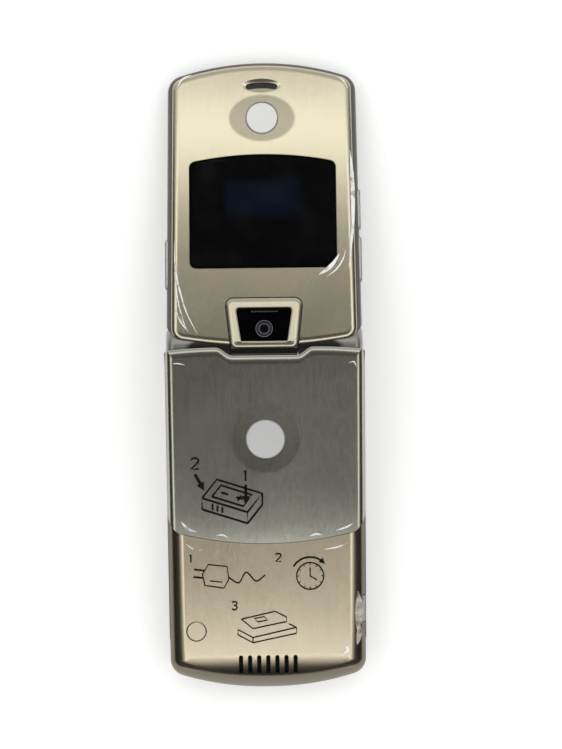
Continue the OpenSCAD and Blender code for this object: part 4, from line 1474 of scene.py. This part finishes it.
@dataclass
class ClearFilms:
    """The three clear protective sheets with painted highlights along their folds and their printed marks."""

    thick: float = 0.05
    lid_rows: tuple[Point, ...] = ((1.75, 6.42), (2.2, 6.66), (2.8, 6.78), (3.6, 6.8), (6.0, 6.8))
    door_rows: tuple[Point, ...] = (
        (1.2, 6.62), (1.7, 6.98), (2.4, 7.3), (3.2, 7.44), (4.5, 7.45), (6.0, 7.45))
    ink: Colour = (0.004, 0.004, 0.004)

    def wave(self, ring: Sequence[Vector], size: float) -> list[Vector]:
        """A ring with an unsteady, hand-laid edge.

        Args:
            ring: The even ring.
            size: Size of the waves.

        Returns:
            The unsteady ring.
        """
        out = []
        for p in ring:
            push = size * (math.sin(p.x * 0.53 + p.y * 0.31) + 0.6 * math.sin(p.y * 0.9 - p.x * 0.2))
            out.append(p + Vector((-push * 0.25 * (1 if p.x > 0 else -1), 0.0, 0.0)))
        return out

    def sheet(self, name: str, plan: Plan, rows: Sequence[Point]) -> Solid:
        """A thin sheet over rows of inset and height.

        Args:
            name: Its name.
            plan: Its outline.
            rows: Pairs of inset and height, outermost first.

        Returns:
            The sheet.
        """
        low = [self.wave(plan.spread(i, z), max(0.0, 1.0 - 0.5 * k)) for k, (i, z) in enumerate(rows)]
        high = [[p + Vector((0, 0, self.thick)) for p in ring] for ring in low]
        return Solid.lofted(name, low[::-1] + high)

    def lid_surface(self, x: float, y: float) -> float:
        """Top of the lid's film."""
        return profile_height(self.lid_rows, 25.7 - abs(x)) + self.thick + 0.005

    def door_surface(self, x: float, y: float) -> float:
        """Top of the door's film."""
        return profile_height(self.door_rows, 26.4 - abs(x)) + self.thick + 0.005

    def flank_surface(self, x: float, y: float) -> float:
        """Just above the rolled flank of the lower cover."""
        return profile_height(rounded_edge(0.08, 3.9, 4.32, 3.4, 12, 1.6), 26.36 - abs(x)) + 0.12

    def lower_surface(self, x: float, y: float) -> float:
        """Top of the lower film."""
        return 7.35 + self.thick + 0.005

    def laid(self, name: str, strokes: Sequence[Stroke], surface: Callable[[float, float], float],
             thick: float, finish: "PaintedGlint | Ink") -> None:
        """Puts painted fold highlights or printed marks on a film.

        Args:
            name: Name of the piece.
            strokes: Its strokes.
            surface: Height of the film under a point.
            thick: Thickness.
            finish: Its finish, which names the half too.
        """
        stroked(name, strokes, surface, thick).placed(finish.half, finish.make(), Slot.FILM)

    def lid(self) -> None:
        """Film over the lid, open around the camera hood."""
        solid = self.sheet("lid_clear_film", LID_PLAN, self.lid_rows)
        solid.cut(punch(HUMP_PLAN.ring(-0.35)), Solid.box("tool", (-50, -50, 0), (50, 0.4, 20)))
        solid.placed(LID, ClearFilm("clear_lid", LID).make(), Slot.FILM, "lid_film")
        # painted highlight: white streaks where the film's folds and edges catch the light
        fold_glints = [
            glint_stroke(0.4, (-23.6, 28.0), (-23.2, 19.0), (-20.8, 9.0), (-17.6, 2.2)),
            glint_stroke(0.3, (-23.6, 20.0), (-22.8, 12.0), (-21.4, 6.0), (-20.0, 2.6)),
            glint_stroke(0.5, (-23.4, 9.0), (-22.2, 6.0), (-20.6, 3.4)),
            glint_stroke(1.1, (14.6, 17.9), (16.6, 19.1), (18.6, 21.0), (20.2, 23.6)),
            glint_stroke(0.4, (16.8, 17.4), (19.2, 19.2), (21.0, 21.8), (21.9, 24.6)),
            glint_stroke(0.6, (22.6, 19.5), (23.1, 23.0), (23.4, 28.0), (23.5, 31.0)),
            glint_stroke(1.1, (23.6, 26.0), (23.9, 32.0), (24.0, 40.0), (23.8, 47.0), (23.4, 52.0)),
            glint_stroke(0.5, (-22.6, 69.6), (-21.2, 72.0), (-18.6, 73.2)),
            glint_stroke(0.5, (20.4, 72.4), (22.0, 71.0), (23.0, 69.0)),
        ]
        self.laid("lid_film_fold_glints", fold_glints, self.lid_surface, 0.02, PaintedGlint("glint_lid", LID))

    def door(self) -> None:
        """Film over the battery door."""
        solid = self.sheet("door_clear_film", BASE_PLAN, self.door_rows)
        outline = CornerPlan(((-25.6, -3.2), (-25.6, -40.0), (-21.6, -47.6), (-10.0, -50.2), (10.0, -50.2),
                              (21.6, -47.6), (25.6, -40.0), (25.6, -3.2)), 1.2)
        solid.cut(punch(outline.ring(0.0), -20.0), kind="INTERSECT")
        solid.placed(DOOR, ClearFilm("clear_door", DOOR).make(), Slot.FILM, "door_film")
        # painted highlight: white streaks where the film's folds and edges catch the light
        fold_glints = [
            glint_stroke(0.7, (-22.6, -45.6), (-21.0, -47.4), (-18.6, -48.4)),
            glint_stroke(0.4, (-13.4, -49.4), (-11.6, -49.3), (-10.2, -50.1)),
            glint_stroke(0.5, (11.4, -49.9), (13.0, -49.3), (14.6, -49.6)),
            glint_stroke(0.5, (18.4, -48.4), (21.0, -47.6), (22.8, -46.6)),
            glint_stroke(0.3, (-24.3, -3.6), (-22.8, -3.5), (-21.0, -3.9)),
            glint_stroke(0.3, (22.2, -3.8), (23.6, -3.6), (24.4, -5.4)),
        ]
        self.laid("door_film_fold_glints", fold_glints, self.door_surface, 0.02, PaintedGlint("glint_door", DOOR))
        marks = self.cell(-17.0, -45.0)
        for sign, x, y in (("1", -5.4, -35.0), ("2", -18.8, -31.6)):
            marks += glyph(sign, x, y, 2.9, 0.5)
        for start, end in (((-5.4, -36.0), (-5.4, -41.2)), ((-18.8, -33.0), (-16.4, -37.4))):
            marks.append(arrow(0.8, 2.2, start, end))
        self.laid("door_film_marks", marks, self.door_surface, 0.01, Ink("ink_door", self.ink, DOOR))

    def cell(self, x: float, y: float) -> list[Stroke]:
        """A battery cell drawn at a slant, with its two signs.

        Args:
            x: Its left corner.
            y: Its lowest point.

        Returns:
            The strokes.
        """
        def at(u: float, v: float, w: float) -> Point:
            """A point of the slanted block."""
            return (x + 0.92 * u + 0.5 * v, y + 2.6 - 0.3 * u + 0.62 * v + w)

        pen = 0.52
        faces = [
            [at(0, 0, 0), at(13, 0, 0), at(13, 0, 3), at(0, 0, 3), at(0, 0, 0)],
            [at(0, 0, 3), at(0, 8, 3), at(13, 8, 3), at(13, 0, 3)],
            [at(13, 0, 0), at(13, 8, 0), at(13, 8, 3)],
            [at(2, 1.6, 3), at(11, 1.6, 3), at(11, 6.4, 3), at(2, 6.4, 3), at(2, 1.6, 3)],
            [at(3.4, 4, 3), at(5.4, 4, 3)],
            [at(7.6, 4, 3), at(9.6, 4, 3)],
            [at(8.6, 3, 3), at(8.6, 5, 3)],
            *([at(u, 0, 0.7), at(u, 0, 2.3)] for u in (3, 4.4, 5.8)),
        ]
        return [line(pen, *face) for face in faces]

    def socket(self, x: float, y: float) -> list[Stroke]:
        """A wall plug with its cord.

        Args:
            x: Its left corner.
            y: Its foot.

        Returns:
            The strokes.
        """
        body = [(0, 0), (5, -0.8), (6.4, 1.6), (6, 5), (1, 5.6), (-0.6, 3), (0, 0)]
        body = [(x + u, y + v) for u, v in body]
        cord = [(6.3, 2.2), (9.0, 0.6), (11.0, 3.4), (13.6, 1.0), (16.0, 2.6)]
        cord = curved([(x + u, y + v) for u, v in cord])
        return [line(0.34, *body), line(0.38, *cord), line(0.5, (x - 0.4, y + 2), (x - 3, y + 2.3)),
                line(0.5, (x - 0.2, y + 4), (x - 2.8, y + 4.3)),
                line(0.3, (x + 1.4, y + 1.2), (x + 4.6, y + 0.8))]

    def clock(self, x: float, y: float, r: float) -> list[Stroke]:
        """A clock face with a turning arrow.

        Args:
            x: Middle across.
            y: Middle along.
            r: Radius of the face.

        Returns:
            The strokes.
        """
        hands = [line(0.36, (x, y + r * 0.62), (x, y), (x + r * 0.5, y - r * 0.3))]
        ticks = [line(0.22, (x + r * 0.8 * c, y + r * 0.8 * k), (x + r * 0.94 * c, y + r * 0.94 * k))
                 for c, k in circle_points(0, 0, 1, 12)]
        out = r + 1.5
        turn = [(x + out * math.cos(a), y + out * math.sin(a)) for a in (2.6 - 0.24 * i for i in range(9))]
        return [line(0.36, *circle_points(x, y, r, 32), (x + r, y)), arrow(0.5, 1.6, *turn), *hands, *ticks]

    def card(self, x: float, y: float) -> list[Stroke]:
        """A notched card above an open tray.

        Args:
            x: Its left end.
            y: Height of the tray's left corner.

        Returns:
            The strokes.
        """
        card = [(0, 4), (9, 6), (12, 4.4), (12, 3.2), (3, 1.4), (0, 4)]
        tray = [(-1, -0.2), (3, -2.4), (14.6, 0), (14.6, 1.6), (12.6, 2.6)]
        chip = [(4.4, 3.2), (7, 3.7), (6, 4.6), (3.4, 4.1), (4.4, 3.2)]
        rim = [(-1, -0.2), (-1, 1.2), (3, -1.0), (14.6, 1.6)]
        paths = (card, tray, chip, rim, [(3, -2.4), (3, -1.0)])
        return [line(0.34, *((x + u, y + v) for u, v in path)) for path in paths]

    def lower(self) -> None:
        """Film below the door."""
        seam = [(21.6 - 2.16 * i, -50.9 - 2.5 * (1 - (1 - i / 10) ** 2)) for i in range(21)]
        low = self.wave([Vector((x, y, 7.35)) for x, y in [(-21.5, -82.2), (21.5, -82.2), *seam]], 0.5)
        solid = Solid.lofted("lower_clear_film", [low, [p + Vector((0, 0, self.thick)) for p in low]])
        solid.placed(BASE, ClearFilm("clear_lower", BASE).make(), Slot.FILM, "lower_film")
        # painted highlight: white streaks where the film's folds and edges catch the light
        fold_glints = [
            glint_stroke(0.4, (-21.4, -51.6), (-19.6, -52.9), (-17.0, -53.3)),
            glint_stroke(0.4, (15.0, -53.5), (18.6, -52.9), (21.4, -51.8)),
            glint_stroke(0.8, (20.4, -79.0), (21.2, -80.6), (19.6, -82.0)),
        ]
        self.laid("lower_film_fold_glints", fold_glints, self.lower_surface, 0.02, PaintedGlint("glint_low", BASE))
        # painted reflection: pale champagne-white patches where the film lifts off the flank
        flap_glints = [
            glint_stroke(2.2, (24.0, -64.8), (24.3, -67.6), (24.4, -70.6), (24.2, -73.6), (23.9, -75.6)),
            glint_stroke(1.5, (24.4, -73.4), (24.4, -75.6), (24.2, -77.4), (23.7, -79.4)),
        ]
        finish = PaintedGlint("glint_flap_low", BASE, 0.42, (0.2, 0.8), (0.9, 0.86, 0.72))
        self.laid("flank_film_flap_glints", flap_glints, self.flank_surface, 0.03, finish)
        marks = self.socket(-16.6, -62.8) + self.clock(11.4, -60.6, 3.6) + self.card(-7.0, -76.0)
        for sign, x, y in (("1", -20.2, -56.6), ("2", 3.0, -56.6), ("3", -8.8, -69.4)):
            marks += glyph(sign, x, y, 2.1, 0.42)
        self.laid("lower_film_marks", marks, self.lower_surface, 0.01, Ink("ink_lower", self.ink, BASE))

    def build(self) -> None:
        """All of it."""
        self.lid()
        self.door()
        self.lower()


@dataclass
class SideKeys:
    """The three keys on the lid's flanks, rounded and grooved."""

    keys: tuple[tuple[str, float, float, float, int, int], ...] = (
        ("volume_key", 30.9, 41.9, 26.08, 1, 2), ("smart_key", 16.7, 28.9, 26.22, 1, 0),
        ("voice_key", 15.1, 28.5, 26.23, -1, 0))
    depth: float = 1.1
    low: float = 1.9
    high: float = 4.1

    def key(self, name: str, y0: float, y1: float, out: float, side: int, grooves: int) -> None:
        """One key.

        Args:
            name: Its CAD node.
            y0: Its end nearer the hinge.
            y1: Its other end.
            out: Distance of its face from the middle.
            side: 1 or -1 across the phone.
            grooves: Number of grooves across its face.
        """
        plan = CornerPlan(((y0, self.low), (y1, self.low), (y1, self.high), (y0, self.high)), 0.8)
        rows = [(0.0, out - self.depth)] + rounded_edge(0.0, out - 0.42, 0.4, 0.42, 5)
        rings = [[Vector((side * x, y, z)) for y, z in plan.ring(i)] for i, x in rows]
        solid = Solid.lofted(name + "_cap", rings)
        middle = (y0 + y1) / 2
        for i in range(grooves):
            y = middle + (i - (grooves - 1) / 2) * 1.1
            solid.cut(Solid.box("tool", (min(side * (out - 0.16), side * 40), y - 0.16, 0.0),
                                (max(side * (out - 0.16), side * 40), y + 0.16, 10.0)))
        finish = BrushedMetal(name + "_metal", (0.5, 0.49, 0.46), (0.4, 0.39, 0.37), LID, 0.28)
        solid.placed(LID, finish.make(), Slot.SIDE_KEY, name, body=name + "_body")

    def build(self) -> None:
        """All of them."""
        for key in self.keys:
            self.key(*key)


@dataclass
class HingeGapShade:
    """Dark sleeve over the middle of the hinge, under the camera hood, painted as shade so the gap there
    reads dark.
    """

    half_width: float = 8.8
    inner: float = 6.31
    outer: float = 6.46

    def build(self) -> None:
        """The sleeve, a thin arc across the hinge."""
        start, end, steps = math.radians(106.0), math.radians(118.0), 12
        angles = [start + (end - start) * i / steps for i in range(steps + 1)]
        profile = [(self.outer * math.cos(a), self.outer * math.sin(a)) for a in angles]
        profile += [(self.inner * math.cos(a), self.inner * math.sin(a)) for a in angles[::-1]]
        rings = [[Vector((x, y, z)) for y, z in profile] for x in (-self.half_width, self.half_width)]
        solid = Solid.lofted("hinge_gap_shade_sleeve", rings)
        # painted shade: near-black plastic so the gap between hood and door reads dark
        finish = Moulded("gap_shade_black", (0.006, 0.006, 0.007), 0.5, 1.0e-6, gloss=0.08)
        solid.placed(LID, finish.make(), Slot.PLASTIC)


@dataclass
class Keypad:
    """The etched keys on the underside, softly edged, with their signs."""

    face: float = 0.05
    metal: BrushedMetal = BrushedMetal("key_metal", (0.5, 0.5, 0.49), (0.42, 0.42, 0.41), BASE, 0.3)
    legends: dict[str, tuple[str, float, float]] = field(default_factory=lambda: {
        **{f"key_{n + 1}": (str(n + 1), 15.4 - 15.4 * (n % 3), -42.0 - 9.2 * (n // 3)) for n in range(9)},
        "key_0": ("0", 0.0, -70.8), "key_star": ("star", 15.4, -69.6), "key_hash": ("hash", -15.4, -69.6),
        "send_key": ("call", 15.4, -31.4), "end_key": ("bar", -15.4, -31.4),
        "clear_key": ("dots", 0.0, -33.0), "soft_key_left": ("bar", 15.4, -14.6),
        "soft_key_right": ("bar", -15.4, -14.6)})

    def softened(self, name: str) -> None:
        """One key with rounded edges in place of its CAD node.

        Args:
            name: The CAD node's name.
        """
        node = frame["nodes"][name]
        bm = bmesh.new()
        bm.from_mesh(node.data)
        bmesh.ops.transform(bm, matrix=BASE.matrix.inverted() @ node.matrix_world, verts=bm.verts)
        bmesh.ops.remove_doubles(bm, verts=bm.verts, dist=1e-4)
        bmesh.ops.dissolve_limit(bm, angle_limit=0.02, verts=bm.verts, edges=bm.edges)
        solid = Solid(name + "_cap", bm)
        solid.bevel(0.1, 2, 50.0)
        solid.placed(BASE, self.metal.make(), Slot.KEY, name, body=name + "_body")

    def build(self) -> None:
        """All of it."""
        for name in KEY_NODES:
            self.softened(name)
        ink = Ink("key_signs", (0.75, 0.85, 0.95), BASE).make()
        for name, (sign, x, y) in self.legends.items():
            strokes = glyph(sign, x, y, 3.2, 0.34, mirror=True)
            solid = stroked(name + "_sign", strokes, lambda px, py: self.face - 0.002, -0.012)
            solid.placed(BASE, ink, Slot.KEY, body=name + "_body")


def dress_all() -> None:
    """Finishes of the CAD nodes that stay."""
    dress(Moulded("dark_frame", (0.11, 0.107, 0.1), 0.38, 3e-6, 0.7).make(), "lid_frame", "lid_inner_cover")
    dress(Moulded("grey_frame", (0.3, 0.295, 0.28), 0.34, 3e-6, 0.8).make(), "front_housing")
    # painted shadow: the knuckles darken in a strip along the hinge gap
    dress(BrushedMetal("knuckle_frame", (0.32, 0.315, 0.3), (0.27, 0.265, 0.25), BASE, 0.34, metallic=0.8,
                       painted_shade_patch=(0.0, 0.6, 20.5, 3.4, 0.1)).make(), "rear_housing")
    dress(DarkGlass("black_glass", LID).make(), "outer_display", "main_window", "main_display")
    dress(Moulded("steel", (0.55, 0.55, 0.56), 0.3, 2e-6, 1.0).make(), "hinge_shaft", "hinge_tube",
          "lid_screws", "base_screws", "hinge_cartridge", "usb_socket", "earpiece", "microphone",
          "vibration_motor")
    dress(Moulded("black_rubber", (0.02, 0.02, 0.02), 0.7, 6e-6).make(),
          "lid_bumpers", "slot_mesh", "loudspeaker")
    dress(Moulded("battery_black", (0.03, 0.03, 0.032), 0.5).make(), "battery", "antenna")
    dress(Moulded("dome_plastic", (0.7, 0.7, 0.66), 0.4).make(), "dome_sheet")
    dress(CircuitBoard().make(), "main_board", "lid_board")


def main() -> None:
    """Builds the scene in order."""
    logging.basicConfig(level=logging.INFO, format="%(message)s")
    Studio().build()
    LOG.info("studio ready")
    dress_all()
    LOG.info("nodes dressed")
    for part in (LidShell(), CameraHump(), BaseShell(), HingeGapShade(), SideKeys(), Keypad(), ClearFilms()):
        part.build()
        LOG.info("built %s", type(part).__name__)


if __name__ == "__main__":
    main()
